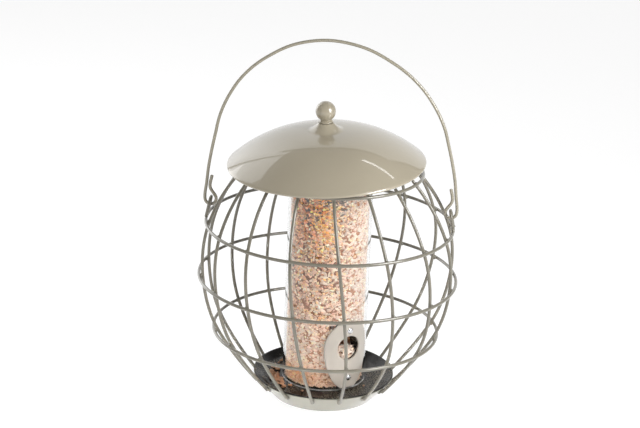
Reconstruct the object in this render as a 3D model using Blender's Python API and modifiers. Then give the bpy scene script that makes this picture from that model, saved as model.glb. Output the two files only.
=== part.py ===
"""Globe-caged seed feeder: a clear seed tube on a tray, inside a welded wire cage that
keeps squirrels out, under a lift-off domed lid and a bail handle that swings in two eyes.

Units are metres and +Z is up. The origin is on the floor under the middle of the dish.
Azimuths are measured from -Y, the front, towards +X.
"""

from math import asin, cos, hypot, pi, radians, sin, sqrt, tan

import bmesh
import bpy
import numpy as np
from mathutils import Matrix, Vector

# Fits and wire
FIT = 0.0003                    # gap left between two pieces that touch
WIRE = 0.0030                   # diameter of all the cage and handle wire
OVERRUN = 0.004                 # how far a cutter runs past what it cuts

# Cage: four rings outside sixteen ribs
RIB_COUNT = 16
RIB_AZIMUTH = radians(11.25)    # first rib, at the height of the middle ring
RIB_TURN = radians(12.5)        # how far a rib leans round from its foot to the neck
RIB_TIP = 0.0050                # rib end that stands above the neck ring
LOWER_RING_RADIUS = 0.1039
LOWER_RING_HEIGHT = 0.0639
MIDDLE_RING_RADIUS = 0.1185
MIDDLE_RING_RISE = 0.0521       # above the lower ring
UPPER_RING_RADIUS = 0.1131
UPPER_RING_RISE = 0.0507        # above the middle ring
NECK_RING_RADIUS = 0.0831
NECK_RING_RISE = 0.0511         # above the upper ring

# Base dish: a pressed pan on a narrow foot
DISH_FOOT_RADIUS = 0.0483
DISH_FOOT_WIDTH = 0.0055
DISH_RIM_RADIUS = 0.0656
DISH_HEIGHT = 0.0193
DISH_WALL = 0.0012
DISH_PANEL_RISE = 0.0040        # underside of the raised middle panel
DISH_STEP = 0.0025              # width of the slope up to that panel
RIB_FOOT_SHARE = 0.80           # where a rib's foot meets the dish wall, from its bottom

# Seed tray, hung in the dish by its lip and moulded in one with the spigot in the tube
TRAY_WALL = 0.0015
TRAY_FLOOR_RADIUS = 0.0560
TRAY_RIM_RADIUS = 0.0653
TRAY_RIM_RISE = 0.0065          # rim above the tray's underside
TRAY_LIP = 0.0012               # thickness of the lip over the dish's rim
SPIGOT_RISE = 0.0012            # above the tray floor
HUB_RADIUS = 0.0080

# Centre bolt
BOLT_RADIUS = 0.0025
BOLT_HEAD_RADIUS = 0.0046
BOLT_HEAD_HEIGHT = 0.0028
BOLT_END = 0.0030               # thread that shows above the nut
NUT_FLATS = 0.0080
NUT_HEIGHT = 0.0040

# Seed tube, the cone in its foot and the seed
TUBE_RADIUS = 0.0385
TUBE_WALL = 0.0020
CONE_EDGE = 0.0008
CONE_HEIGHT = 0.0200
CONE_TOP_RADIUS = 0.0090
SEED_LEVEL = 0.1860             # seed at the tube wall, above the tray floor
SEED_CROWN = 0.0040             # how much higher the seed lies in the middle
SEED_WELL = 0.0030              # room round the nut

# Feeding ports, one each side of the tube
PORT_COUNT = 2
PORT_AZIMUTH = radians(38.0)
PORT_HEIGHT = 0.0415            # hole centre above the tray floor
PORT_RADIUS = 0.0116
PLATE_WALL = 0.0012
PLATE_HALF_WIDTH = 0.0226
PLATE_UPPER = 0.0275            # half heights of the egg that the plate is cut from
PLATE_LOWER = 0.0414
PLATE_TOP = 0.0238              # flat top edge above the hole centre
PLATE_BOTTOM = 0.0390           # flat bottom edge below it
RIVET_UPPER = 0.0170            # rivets above and below the hole centre
RIVET_LOWER = 0.0292
RIVET_RADIUS = 0.0015
RIVET_HEAD_RADIUS = 0.0028
RIVET_HEAD_HEIGHT = 0.0016
HOOD_WALL = 0.0014
HOOD_DEPTH = 0.0145
HOOD_SKIRT = 0.0065             # side walls below the hole centre
HOOD_BOSS_WIDTH = 0.0080
RIVET_GRIP = 0.0050             # rivet length inside the hood's boss

# Lid
LID_RADIUS = 0.0901
LID_LIFT = 0.0090               # rim's centre above the neck ring's centre
LID_AZIMUTH = radians(-47.1)    # the side it has slipped to and leans to
LID_SLIP = 0.0067               # how far the rim's centre has slipped
LID_LEAN = radians(4.0)
LID_RISE = 0.0305               # height of the dome
LID_POWER = 2.48                # exponent of the dome's outline
LID_WALL = 0.0010
LID_BEAD = 0.0013               # radius of the rolled rim
LID_NECK_RADIUS = 0.0070        # flat under the knob
LID_FLARE_RADIUS = 0.0180       # where the dome starts to sweep up to the knob
LID_FLARE_RISE = 0.0073
COLLAR_WALL = 0.0015
COLLAR_DEPTH = 0.0060
COLLAR_FIT = 0.0006             # least gap to the tube

# Knob on the lid
KNOB_RADIUS = 0.0092
KNOB_NECK_RADIUS = 0.0050
KNOB_NECK_RISE = 0.0025
STUD_RADIUS = 0.0030
STUD_LENGTH = 0.0100
WASHER_RADIUS = 0.0060
WASHER_HEIGHT = 0.0010
KNOB_NUT_FLATS = 0.0100
KNOB_NUT_HEIGHT = 0.0050

# Handle and its eyes
EYE_HALF_WIDTH = 0.0060
EYE_LEAN = radians(11.5)
EYE_REACH = 0.0171              # from its feet on the upper ring to its top, along its lean
HOOK_PLAY = 0.0043              # slack between the hook and the top of its eye
HOOK_OUT = 0.0004               # middle of the hook, outside the top of the eye
HOOK_RADIUS = 0.0053            # middle of the wire, as are the handle's other sizes
HANDLE_RISE = 0.1597            # top of the bail above its hinge
HANDLE_BOW = 0.0067             # how far its crown has been bent to the left
TAIL_OUT = 0.0060
TAIL_RISE = 0.0110
TIP_IN = 0.0018
TIP_RISE = 0.0117
# The bail above its hooks, as shares of its half width there and of its rise
BAIL_SHARES = [(0.988, 0.128), (0.973, 0.225), (0.948, 0.325), (0.917, 0.425), (0.883, 0.525),
               (0.841, 0.601), (0.784, 0.676), (0.724, 0.739), (0.646, 0.801), (0.565, 0.851),
               (0.461, 0.901), (0.308, 0.958), (0.160, 0.988), (0, 1)]

# Facets
TURN_STEPS = 40
SMALL_STEPS = 12
WIRE_RINGS = 1                  # bevel resolution of a wire, six sides
RIB_SAMPLES = 3                 # points between two contacts of a rib
RING_SAMPLES = 3                # ring points for each rib

# Heights and places worked out from the sizes above
MIDDLE_RING_HEIGHT = LOWER_RING_HEIGHT + MIDDLE_RING_RISE
UPPER_RING_HEIGHT = MIDDLE_RING_HEIGHT + UPPER_RING_RISE
NECK_RING_HEIGHT = UPPER_RING_HEIGHT + NECK_RING_RISE
TRAY_RIM = DISH_HEIGHT + FIT + TRAY_LIP
TRAY_BASE = TRAY_RIM - TRAY_RIM_RISE
TRAY_FLOOR = TRAY_BASE + TRAY_WALL
SPIGOT_TOP = TRAY_FLOOR + SPIGOT_RISE
BORE_RADIUS = TUBE_RADIUS - TUBE_WALL
FILL_RADIUS = BORE_RADIUS - FIT
CONE_BASE = SPIGOT_TOP + FIT
CONE_TOP = CONE_BASE + CONE_HEIGHT
PORT_Z = TRAY_FLOOR + PORT_HEIGHT
PLATE_INNER = TUBE_RADIUS + FIT
PLATE_OUTER = PLATE_INNER + PLATE_WALL
LID_RIM = NECK_RING_HEIGHT + LID_LIFT
EYE_FOOT = UPPER_RING_HEIGHT + (WIRE / 2 + FIT) / cos(EYE_LEAN)
TUBE_BASE = TRAY_FLOOR + FIT

PAINT = ("stone_paint", (0.34, 0.31, 0.23), 0.28, 0.0)
BLACK = ("black_plastic", (0.012, 0.012, 0.014), 0.18, 0.0)
CLEAR = ("clear_plastic", (0.86, 0.90, 0.92), 0.12, 0.0)
SEED = ("seed_mix", (0.62, 0.40, 0.24), 0.70, 0.0)
STEEL = ("bright_steel", (0.62, 0.62, 0.64), 0.25, 1.0)


def clear_scene():
    for old in list(bpy.data.objects):
        bpy.data.objects.remove(old, do_unlink=True)
    for group in list(bpy.data.collections):
        bpy.data.collections.remove(group)


def new_collection(name):
    group = bpy.data.collections.new(name)
    bpy.context.scene.collection.children.link(group)
    return group


def finish_of(name, finish):
    """A Principled material of this piece's own."""
    kind, colour, roughness, metallic = finish
    made = bpy.data.materials.new(name + "_" + kind)
    made.use_nodes = True
    shader = made.node_tree.nodes["Principled BSDF"]
    shader.inputs["Base Color"].default_value = (*colour, 1.0)
    shader.inputs["Roughness"].default_value = roughness
    shader.inputs["Metallic"].default_value = metallic
    if finish is CLEAR:
        shader.inputs["Transmission Weight"].default_value = 1.0
    return made


def add_piece(name, data, finish, parent=None):
    """Put a mesh or curve into the feeder's collection as one named piece."""
    piece = bpy.data.objects.new(name, data)
    FEEDER.objects.link(piece)
    data.materials.append(finish_of(name, finish))
    piece.parent = parent
    return piece


def add_cutter(name, data):
    cutter = bpy.data.objects.new(name, data)
    CUTTERS.objects.link(cutter)
    cutter.hide_render = True
    cutter.display_type = "WIRE"
    return cutter


def add_frame(name, place):
    """An empty that carries a moving group."""
    frame = bpy.data.objects.new(name, None)
    FEEDER.objects.link(frame)
    frame.matrix_world = place
    return frame


def boolean(piece, cutter, operation="DIFFERENCE"):
    step = piece.modifiers.new(operation.lower(), "BOOLEAN")
    step.object = cutter
    step.operation = operation
    step.solver = "EXACT"


def profile_mesh(name, outline, closed):
    """The half outline of a turned piece, (radius, height) pairs, as edges in the XZ plane."""
    mesh = bpy.data.meshes.new(name)
    count = len(outline)
    edges = [(i, (i + 1) % count) for i in range(count if closed else count - 1)]
    mesh.from_pydata([(r, 0, z) for r, z in outline], edges, [])
    return mesh


def screw(piece, steps):
    turn = piece.modifiers.new("turn", "SCREW")
    turn.angle = 2 * pi
    turn.steps = steps
    turn.render_steps = steps
    turn.use_merge_vertices = True
    turn.merge_threshold = 1e-6
    turn.use_smooth_shade = True


def turned(name, outline, finish, closed=False, steps=TURN_STEPS, parent=None):
    """A turned piece. An open outline starts at the top of the axis and ends at its foot;
    a closed one runs down its outer side and back up its inner side."""
    piece = add_piece(name, profile_mesh(name, outline, closed), finish, parent)
    screw(piece, steps)
    return piece


def wire_data(name, points, cyclic=False):
    """Round wire along a list of points."""
    data = bpy.data.curves.new(name, "CURVE")
    data.dimensions = "3D"
    data.bevel_depth = WIRE / 2
    data.bevel_resolution = WIRE_RINGS
    data.use_fill_caps = not cyclic
    line = data.splines.new("POLY")
    line.points.add(len(points) - 1)
    for point, place in zip(line.points, points):
        point.co = (*place, 1)
    line.use_cyclic_u = cyclic
    return data


def prism_mesh(name, outline, near, far):
    """A flat outline, (across, up) pairs, carried along +X from near to far."""
    data = bpy.data.curves.new(name, "CURVE")
    data.dimensions = "2D"
    data.fill_mode = "BOTH"
    data.extrude = (far - near) / 2
    line = data.splines.new("POLY")
    line.points.add(len(outline) - 1)
    for point, (across, up) in zip(line.points, outline):
        point.co = (across, up, 0, 1)
    line.use_cyclic_u = True
    flat = bpy.data.objects.new(name, data)
    CUTTERS.objects.link(flat)
    solid = bpy.data.meshes.new_from_object(flat.evaluated_get(bpy.context.evaluated_depsgraph_get()))
    bpy.data.objects.remove(flat)
    shape = bmesh.new()
    shape.from_mesh(solid)
    bmesh.ops.remove_doubles(shape, verts=shape.verts, dist=1e-6)
    to_side = Matrix(((0, 0, 1, (near + far) / 2), (1, 0, 0, 0), (0, 1, 0, 0), (0, 0, 0, 1)))
    bmesh.ops.transform(shape, matrix=to_side, verts=shape.verts)
    bmesh.ops.recalc_face_normals(shape, faces=shape.faces)
    shape.to_mesh(solid)
    shape.free()
    solid.name = name
    return solid


def rod_mesh(name, radius, near, far, height, steps):
    """A cylinder lying along +X from near to far, at a height."""
    shape = bmesh.new()
    bmesh.ops.create_cone(shape, cap_ends=True, segments=steps, radius1=radius, radius2=radius,
                          depth=far - near)
    lay = Matrix.Translation(((near + far) / 2, 0, height)) @ Matrix.Rotation(pi / 2, 4, "Y")
    bmesh.ops.transform(shape, matrix=lay, verts=shape.verts)
    rod = bpy.data.meshes.new(name)
    shape.to_mesh(rod)
    shape.free()
    return rod


def nut(name, flats, bore, base, height, finish, parent=None):
    """A hexagon nut: a prism whose bore is cut through."""
    shape = bmesh.new()
    bmesh.ops.create_cone(shape, cap_ends=True, segments=6, radius1=flats / sqrt(3),
                          radius2=flats / sqrt(3), depth=height)
    bmesh.ops.translate(shape, vec=(0, 0, base + height / 2), verts=shape.verts)
    block = bpy.data.meshes.new(name)
    shape.to_mesh(block)
    shape.free()
    piece = add_piece(name, block, finish, parent)
    drill = bpy.data.meshes.new(name + "_bore")
    shape = bmesh.new()
    bmesh.ops.create_cone(shape, cap_ends=True, segments=SMALL_STEPS, radius1=bore,
                          radius2=bore, depth=height + 2 * OVERRUN)
    bmesh.ops.translate(shape, vec=(0, 0, base + height / 2), verts=shape.verts)
    shape.to_mesh(drill)
    shape.free()
    cutter = add_cutter(name + "_bore", drill)
    cutter.parent = parent
    boolean(piece, cutter)
    return piece


def on_circle(radius, azimuth, height):
    return (radius * sin(azimuth), -radius * cos(azimuth), height)


def dish_wall(share):
    """A point on the outside of the dish wall, from its bottom (0) to its rim (1)."""
    return (DISH_FOOT_RADIUS + share * (DISH_RIM_RADIUS - DISH_FOOT_RADIUS), share * DISH_HEIGHT)


def dish_wall_across():
    """Thickness of the dish's leaning wall, measured level."""
    return DISH_WALL * hypot(DISH_RIM_RADIUS - DISH_FOOT_RADIUS, DISH_HEIGHT) / DISH_HEIGHT


def unit(vector):
    return np.array(vector) / hypot(*vector)


def rib_profile():
    """The rib's line as (radius, height) pairs. It passes outside the dish wall and the dish's
    rim and inside each ring, one wire away, so each contact sets a point and a direction."""
    contacts = [dish_wall(RIB_FOOT_SHARE),
                dish_wall(1),
                (LOWER_RING_RADIUS, LOWER_RING_HEIGHT),
                (MIDDLE_RING_RADIUS, MIDDLE_RING_HEIGHT),
                (UPPER_RING_RADIUS, UPPER_RING_HEIGHT),
                (NECK_RING_RADIUS, NECK_RING_HEIGHT)]
    contacts = [np.array(c) for c in contacts]
    offsets = [WIRE / 2 + FIT] * 2 + [-(WIRE + FIT)] * 4
    along = [unit(after - before) for before, after in zip(contacts, contacts[2:])]
    along.insert(0, mirrored(along[0], unit(contacts[1] - contacts[0])))
    along.append(mirrored(along[-1], unit(contacts[-1] - contacts[-2])))
    knots = [c + off * np.array((t[1], -t[0])) for c, t, off in zip(contacts, along, offsets)]
    line = []
    for a, b, ta, tb in zip(knots, knots[1:], along, along[1:]):
        reach = hypot(*(b - a))
        for s in np.arange(RIB_SAMPLES) / RIB_SAMPLES:
            line.append((1 + 2 * s) * (1 - s) ** 2 * a + s * s * (3 - 2 * s) * b
                        + reach * (s * (1 - s) ** 2 * ta - s * s * (1 - s) * tb))
    line.append(knots[-1])
    line.append(knots[-1] + RIB_TIP * along[-1])
    return line


def mirrored(direction, chord):
    """The direction at the far end of a chord that an arc starting along direction ends in."""
    return 2 * np.dot(direction, chord) * chord - direction


def rib_azimuth(index, height):
    turned_share = (height - MIDDLE_RING_HEIGHT) / (NECK_RING_HEIGHT - DISH_HEIGHT * RIB_FOOT_SHARE)
    return RIB_AZIMUTH + index * 2 * pi / RIB_COUNT - RIB_TURN * turned_share


def make_ribs():
    line = rib_profile()
    for index in range(RIB_COUNT):
        points = [on_circle(r, rib_azimuth(index, z), z) for r, z in line]
        name = "cage_rib_%02d" % (index + 1)
        add_piece(name, wire_data(name, points), PAINT)


def make_rings():
    rings = {"lower_ring": (LOWER_RING_RADIUS, LOWER_RING_HEIGHT),
             "middle_ring": (MIDDLE_RING_RADIUS, MIDDLE_RING_HEIGHT),
             "upper_ring": (UPPER_RING_RADIUS, UPPER_RING_HEIGHT),
             "neck_ring": (NECK_RING_RADIUS, NECK_RING_HEIGHT)}
    count = RIB_COUNT * RING_SAMPLES
    for name, (radius, height) in rings.items():
        start = rib_azimuth(0, height)
        points = [on_circle(radius, start + i * 2 * pi / count, height) for i in range(count)]
        add_piece(name, wire_data(name, points, cyclic=True), PAINT)


def make_dish():
    foot_inner = DISH_FOOT_RADIUS - DISH_FOOT_WIDTH
    panel = foot_inner - DISH_STEP
    hole = BOLT_RADIUS + FIT
    across = dish_wall_across()
    inside = dish_wall(DISH_WALL / DISH_HEIGHT)[0] - across
    outline = [(DISH_RIM_RADIUS, DISH_HEIGHT),
               (DISH_FOOT_RADIUS, 0),
               (foot_inner, 0),
               (panel, DISH_PANEL_RISE),
               (hole, DISH_PANEL_RISE),
               (hole, DISH_PANEL_RISE + DISH_WALL),
               (panel + DISH_WALL, DISH_PANEL_RISE + DISH_WALL),
               (foot_inner + DISH_WALL, DISH_WALL),
               (inside, DISH_WALL),
               (DISH_RIM_RADIUS - across, DISH_HEIGHT)]
    turned("base_dish", outline, PAINT, closed=True)


def make_tray():
    hole = BOLT_RADIUS + FIT
    outline = [(TRAY_RIM_RADIUS, TRAY_RIM),
               (TRAY_RIM_RADIUS, TRAY_RIM - TRAY_LIP),
               (DISH_RIM_RADIUS - dish_wall_across() - FIT, TRAY_RIM - TRAY_LIP),
               (TRAY_FLOOR_RADIUS, TRAY_BASE),
               (HUB_RADIUS, TRAY_BASE),
               (HUB_RADIUS, DISH_PANEL_RISE + DISH_WALL + FIT),
               (hole, DISH_PANEL_RISE + DISH_WALL + FIT),
               (hole, SPIGOT_TOP),
               (FILL_RADIUS, SPIGOT_TOP),
               (FILL_RADIUS, TRAY_FLOOR),
               (TRAY_FLOOR_RADIUS, TRAY_FLOOR),
               (TRAY_RIM_RADIUS - TRAY_WALL, TRAY_RIM)]
    turned("seed_tray", outline, BLACK, closed=True)


def make_cone():
    hole = BOLT_RADIUS + FIT
    outline = [(CONE_TOP_RADIUS, CONE_TOP),
               (FILL_RADIUS, CONE_BASE + CONE_EDGE),
               (FILL_RADIUS, CONE_BASE),
               (hole, CONE_BASE),
               (hole, CONE_TOP)]
    turned("seed_cone", outline, BLACK, closed=True)


def make_bolt():
    head_top = DISH_PANEL_RISE - FIT
    end = CONE_TOP + FIT + NUT_HEIGHT + BOLT_END
    outline = [(0, end),
               (BOLT_RADIUS, end),
               (BOLT_RADIUS, head_top),
               (BOLT_HEAD_RADIUS, head_top),
               (BOLT_HEAD_RADIUS, head_top - BOLT_HEAD_HEIGHT),
               (0, head_top - BOLT_HEAD_HEIGHT)]
    turned("centre_bolt", outline, STEEL, steps=SMALL_STEPS)
    nut("centre_nut", NUT_FLATS, BOLT_RADIUS + FIT, CONE_TOP + FIT, NUT_HEIGHT, STEEL)


def dome_height(radius):
    """Outside of the lid above its rim, from the rim in to where the flare starts."""
    return LID_RISE * (1 - (radius / LID_RADIUS) ** LID_POWER)


def dome_underside(radius):
    """Height of the lid's underside above its rim."""
    slope = LID_RISE * LID_POWER * (radius / LID_RADIUS) ** (LID_POWER - 1) / LID_RADIUS
    return dome_height(radius) - LID_WALL * sqrt(1 + slope * slope)


def lid_place():
    """Where the lid lies: slipped to one side of the tube and leaning to that side."""
    side = Matrix.Rotation(LID_AZIMUTH, 4, "Z")
    slip = Matrix.Translation((0, -LID_SLIP, LID_RIM))
    return side @ slip @ Matrix.Rotation(LID_LEAN, 4, "X")


def tube_top():
    """The lid rests on the tube's rim, so the tube ends one fit below the lowest part of the
    lid's underside that lies over its rim. Each pass brings a height closer to that underside."""
    from_floor = lid_place().inverted()
    tops = []
    for azimuth in np.linspace(0, 2 * pi, TURN_STEPS):
        height = LID_RIM
        for _ in range(5):
            spot = from_floor @ Vector(on_circle(TUBE_RADIUS, azimuth, height))
            height += dome_underside(hypot(spot.x, spot.y)) - spot.z
        tops.append(height)
    return min(tops) - FIT * 3 / 2


def make_tube():
    outline = [(TUBE_RADIUS, tube_top()), (TUBE_RADIUS, TUBE_BASE),
               (BORE_RADIUS, TUBE_BASE), (BORE_RADIUS, tube_top())]
    return turned("seed_tube", outline, CLEAR, closed=True)


def make_fill():
    """The seed: it stands round the cone and has a well over the nut."""
    well = NUT_FLATS / sqrt(3) + SEED_WELL
    well_top = CONE_TOP + NUT_HEIGHT + BOLT_END + SEED_WELL
    level = TRAY_FLOOR + SEED_LEVEL
    slope = (CONE_HEIGHT - CONE_EDGE) / (FILL_RADIUS - CONE_TOP_RADIUS)
    lift = FIT * sqrt(1 + slope * slope)
    cone_at_well = CONE_TOP + lift
    if well > CONE_TOP_RADIUS:
        cone_at_well -= slope * (well - CONE_TOP_RADIUS)
    outline = [(0, level + SEED_CROWN),
               (FILL_RADIUS / 2, level + SEED_CROWN * 3 / 4),
               (FILL_RADIUS, level),
               (FILL_RADIUS, CONE_BASE + CONE_EDGE + lift)]
    if well < CONE_TOP_RADIUS:
        outline.append((CONE_TOP_RADIUS, CONE_TOP + lift))
    outline += [(well, cone_at_well), (well, well_top), (0, well_top)]
    return turned("seed_fill", outline, SEED)


def egg_outline():
    """Plate outline round the hole centre: two half ellipses cut flat at top and bottom."""
    top = asin(PLATE_TOP / PLATE_UPPER)
    low = asin(PLATE_BOTTOM / PLATE_LOWER)
    points = []
    for angle in np.linspace(-low, 0, 7)[:-1]:
        points.append((PLATE_HALF_WIDTH * cos(angle), PORT_Z + PLATE_LOWER * sin(angle)))
    for angle in np.linspace(0, top, 6):
        points.append((PLATE_HALF_WIDTH * cos(angle), PORT_Z + PLATE_UPPER * sin(angle)))
    return points + [(-across, up) for across, up in reversed(points)]


def hood_outline(grow=0.0, solid=False):
    """Hood seen from outside: an arch over the hole with a boss for the upper rivet on top."""
    inner = PORT_RADIUS + FIT * 3
    outer = inner + HOOD_WALL + grow
    half_boss = HOOD_BOSS_WIDTH / 2 + grow
    boss_top = PORT_Z + RIVET_UPPER + half_boss
    foot = PORT_Z - HOOD_SKIRT - grow
    lean = asin(half_boss / outer)
    arch = [(outer * cos(a), PORT_Z + outer * sin(a)) for a in np.linspace(0, pi / 2 - lean, 6)]
    right = [(outer, foot)] + arch + [(half_boss, boss_top)]
    points = right + [(-across, up) for across, up in reversed(right)]
    if solid:
        return points
    under = [(inner * cos(a), PORT_Z + inner * sin(a)) for a in np.linspace(pi, 0, 13)]
    return points + [(-inner, foot)] + under + [(inner, foot)]


def make_ports(tube, fill):
    """Each port is a curved plate outside the tube and a hood inside it, on two rivets."""
    sides = ("front", "rear")
    bore = bpy.data.meshes.new("tube_bore")
    shape = bmesh.new()
    bmesh.ops.create_cone(shape, cap_ends=True, segments=TURN_STEPS, radius1=FILL_RADIUS,
                          radius2=FILL_RADIUS, depth=2 * (tube_top() - TUBE_BASE))
    shape.to_mesh(bore)
    shape.free()
    for side, index in zip(sides, range(PORT_COUNT)):
        facing = PORT_AZIMUTH - pi / 2 + index * 2 * pi / PORT_COUNT
        spot = "port_" + side
        near, far = BORE_RADIUS - HOOD_DEPTH - OVERRUN, PLATE_OUTER + OVERRUN
        hole = add_cutter(spot + "_hole", rod_mesh(spot + "_hole", PORT_RADIUS, near, far, PORT_Z, 24))
        blank = add_cutter(spot + "_blank", prism_mesh(spot + "_blank", egg_outline(), 0, far))
        hood_bore = add_cutter(spot + "_bore", bore)
        drills = {}
        for level, height in (("upper", PORT_Z + RIVET_UPPER), ("lower", PORT_Z - RIVET_LOWER)):
            label = spot + "_drill_" + level
            depth = BORE_RADIUS - RIVET_GRIP - FIT if level == "upper" else near
            rod = rod_mesh(label, RIVET_RADIUS + FIT, depth, far, height, 12)
            drills[level] = add_cutter(label, rod)
        pocket = prism_mesh(spot + "_pocket", hood_outline(FIT, solid=True),
                            BORE_RADIUS - HOOD_DEPTH - FIT, far)
        pocket = add_cutter(spot + "_pocket", pocket)
        clench = rod_mesh(spot + "_clench", RIVET_HEAD_RADIUS + FIT,
                          BORE_RADIUS - RIVET_HEAD_HEIGHT - 2 * FIT, far, PORT_Z - RIVET_LOWER, 12)
        clench = add_cutter(spot + "_clench", clench)

        wall = [(PLATE_OUTER, PORT_Z + PLATE_UPPER), (PLATE_OUTER, PORT_Z - PLATE_LOWER),
                (PLATE_INNER, PORT_Z - PLATE_LOWER), (PLATE_INNER, PORT_Z + PLATE_UPPER)]
        plate = turned(spot + "_plate", wall, PAINT, closed=True)
        boolean(plate, blank, "INTERSECT")
        hood = add_piece(spot + "_hood", prism_mesh(spot + "_hood", hood_outline(),
                                                    BORE_RADIUS - HOOD_DEPTH, far), BLACK)
        boolean(hood, hood_bore, "INTERSECT")
        boolean(hood, drills["upper"])
        boolean(tube, hole)
        boolean(plate, hole)
        boolean(fill, pocket)
        boolean(fill, clench)
        for drill in drills.values():
            boolean(tube, drill)
            boolean(plate, drill)
        for part in (plate, hood, hole, blank, hood_bore, pocket, clench, *drills.values()):
            part.rotation_euler = (0, 0, facing)
        make_rivets(spot, facing)


def rivet_head(foot, rise, count):
    """Quarter round from the middle of a rivet's head out to its edge, (radius, along) pairs."""
    turns = np.linspace(0, pi / 2, count)
    return [(RIVET_HEAD_RADIUS * sin(a), foot + rise * cos(a)) for a in turns]


def make_rivets(spot, facing):
    head = PLATE_OUTER + FIT
    crown = rivet_head(head, RIVET_HEAD_HEIGHT, 5)
    upper_end = BORE_RADIUS - RIVET_GRIP
    upper = crown + [(RIVET_RADIUS, head), (RIVET_RADIUS, upper_end), (0, upper_end)]
    inside = BORE_RADIUS - FIT
    clenched = [(r, inside - (along - head)) for r, along in reversed(crown)]
    lower = crown + [(RIVET_RADIUS, head), (RIVET_RADIUS, inside)] + clenched
    for level, outline, height in (("upper", upper, PORT_Z + RIVET_UPPER),
                                   ("lower", lower, PORT_Z - RIVET_LOWER)):
        rivet = turned(spot + "_rivet_" + level, outline, STEEL, steps=SMALL_STEPS)
        rivet.location = (0, 0, height)
        rivet.rotation_euler = (0, pi / 2, facing)


def flare(count, drop):
    """The hollow sweep from the dome up to the flat under the knob, steeper towards the knob.
    drop lowers it by the lid's wall for the underside."""
    start = dome_height(LID_FLARE_RADIUS)
    points = []
    for s in np.linspace(0, 1, count):
        radius = LID_FLARE_RADIUS + s * (LID_NECK_RADIUS - LID_FLARE_RADIUS)
        points.append((radius, start + LID_FLARE_RISE * s * s - drop))
    return points


def make_lid():
    seat = add_frame("lid_seat", lid_place())
    dome_radii = np.linspace(LID_FLARE_RADIUS, LID_RADIUS - LID_BEAD / 2, 7)[1:]
    stud_hole = STUD_RADIUS + FIT
    top = flare(4, 0)[::-1] + [(r, dome_height(r)) for r in dome_radii]
    under = [(r, z - LID_WALL) for r, z in flare(4, 0)]
    inner = [(r, dome_underside(r)) for r in dome_radii[:-1]]
    bead_low = dome_height(dome_radii[-1]) - LID_BEAD
    bead = []
    for angle in np.linspace(0, -pi, 5):
        bead.append((LID_RADIUS - LID_BEAD + LID_BEAD * cos(angle), bead_low + LID_BEAD * sin(angle)))
    outline = [(stud_hole, top[0][1])] + top + bead + inner[::-1] + under
    outline.append((stud_hole, under[-1][1]))
    turned("lid", outline, PAINT, closed=True, parent=seat)

    collar_inner = TUBE_RADIUS + COLLAR_FIT + LID_SLIP + LID_RISE * tan(LID_LEAN)
    collar_outer = collar_inner + COLLAR_WALL
    collar_top = dome_underside(collar_outer) - FIT
    collar = [(collar_outer, collar_top), (collar_outer, collar_top - COLLAR_DEPTH),
              (collar_inner, collar_top - COLLAR_DEPTH), (collar_inner, collar_top)]
    turned("lid_collar", collar, PAINT, closed=True, parent=seat)
    make_knob(seat, top[0][1], under[-1][1])


def make_knob(seat, top, under):
    """Ball on a short neck, with a stud through the lid, a washer and a nut."""
    base = top + FIT
    ball_foot = asin(KNOB_NECK_RADIUS / KNOB_RADIUS)
    centre = base + KNOB_NECK_RISE + KNOB_RADIUS * cos(ball_foot)
    ball = [(KNOB_RADIUS * sin(a), centre + KNOB_RADIUS * cos(a))
            for a in np.linspace(0, pi - ball_foot, 8)]
    outline = ball + [(KNOB_NECK_RADIUS, base), (STUD_RADIUS, base),
                      (STUD_RADIUS, base - STUD_LENGTH), (0, base - STUD_LENGTH)]
    turned("lid_knob", outline, PAINT, steps=16, parent=seat)
    washer_top = under - FIT
    hole = STUD_RADIUS + FIT
    washer = [(WASHER_RADIUS, washer_top), (WASHER_RADIUS, washer_top - WASHER_HEIGHT),
              (hole, washer_top - WASHER_HEIGHT), (hole, washer_top)]
    turned("knob_washer", washer, STEEL, closed=True, steps=SMALL_STEPS, parent=seat)
    nut("knob_nut", KNOB_NUT_FLATS, hole, washer_top - WASHER_HEIGHT - FIT - KNOB_NUT_HEIGHT,
        KNOB_NUT_HEIGHT, STEEL, seat)


def eye_line(along):
    """A place in the plane that the eye leans in, (distance from the axis, height), at a
    distance along its lean from its feet, which stand on the upper ring."""
    ring = sqrt(UPPER_RING_RADIUS ** 2 - EYE_HALF_WIDTH ** 2)
    return (ring - along * sin(EYE_LEAN), EYE_FOOT + along * cos(EYE_LEAN))


def hinge_height():
    """The hook hangs this far below the top of its eye."""
    return eye_line(EYE_REACH)[1] - WIRE - HOOK_PLAY


def make_eyes():
    turns = np.linspace(0, pi, 8)
    arch_foot = EYE_REACH - EYE_HALF_WIDTH
    arch = [(EYE_HALF_WIDTH * cos(a), arch_foot + EYE_HALF_WIDTH * sin(a)) for a in turns]
    path = [(EYE_HALF_WIDTH, 0)] + arch + [(-EYE_HALF_WIDTH, 0)]
    points = []
    for across, along in path:
        out, height = eye_line(along)
        points.append((out, across, height))
    for name, facing in (("handle_eye_right", 0), ("handle_eye_left", pi)):
        eye = add_piece(name, wire_data(name, points), PAINT)
        eye.rotation_euler = (0, 0, facing)


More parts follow.
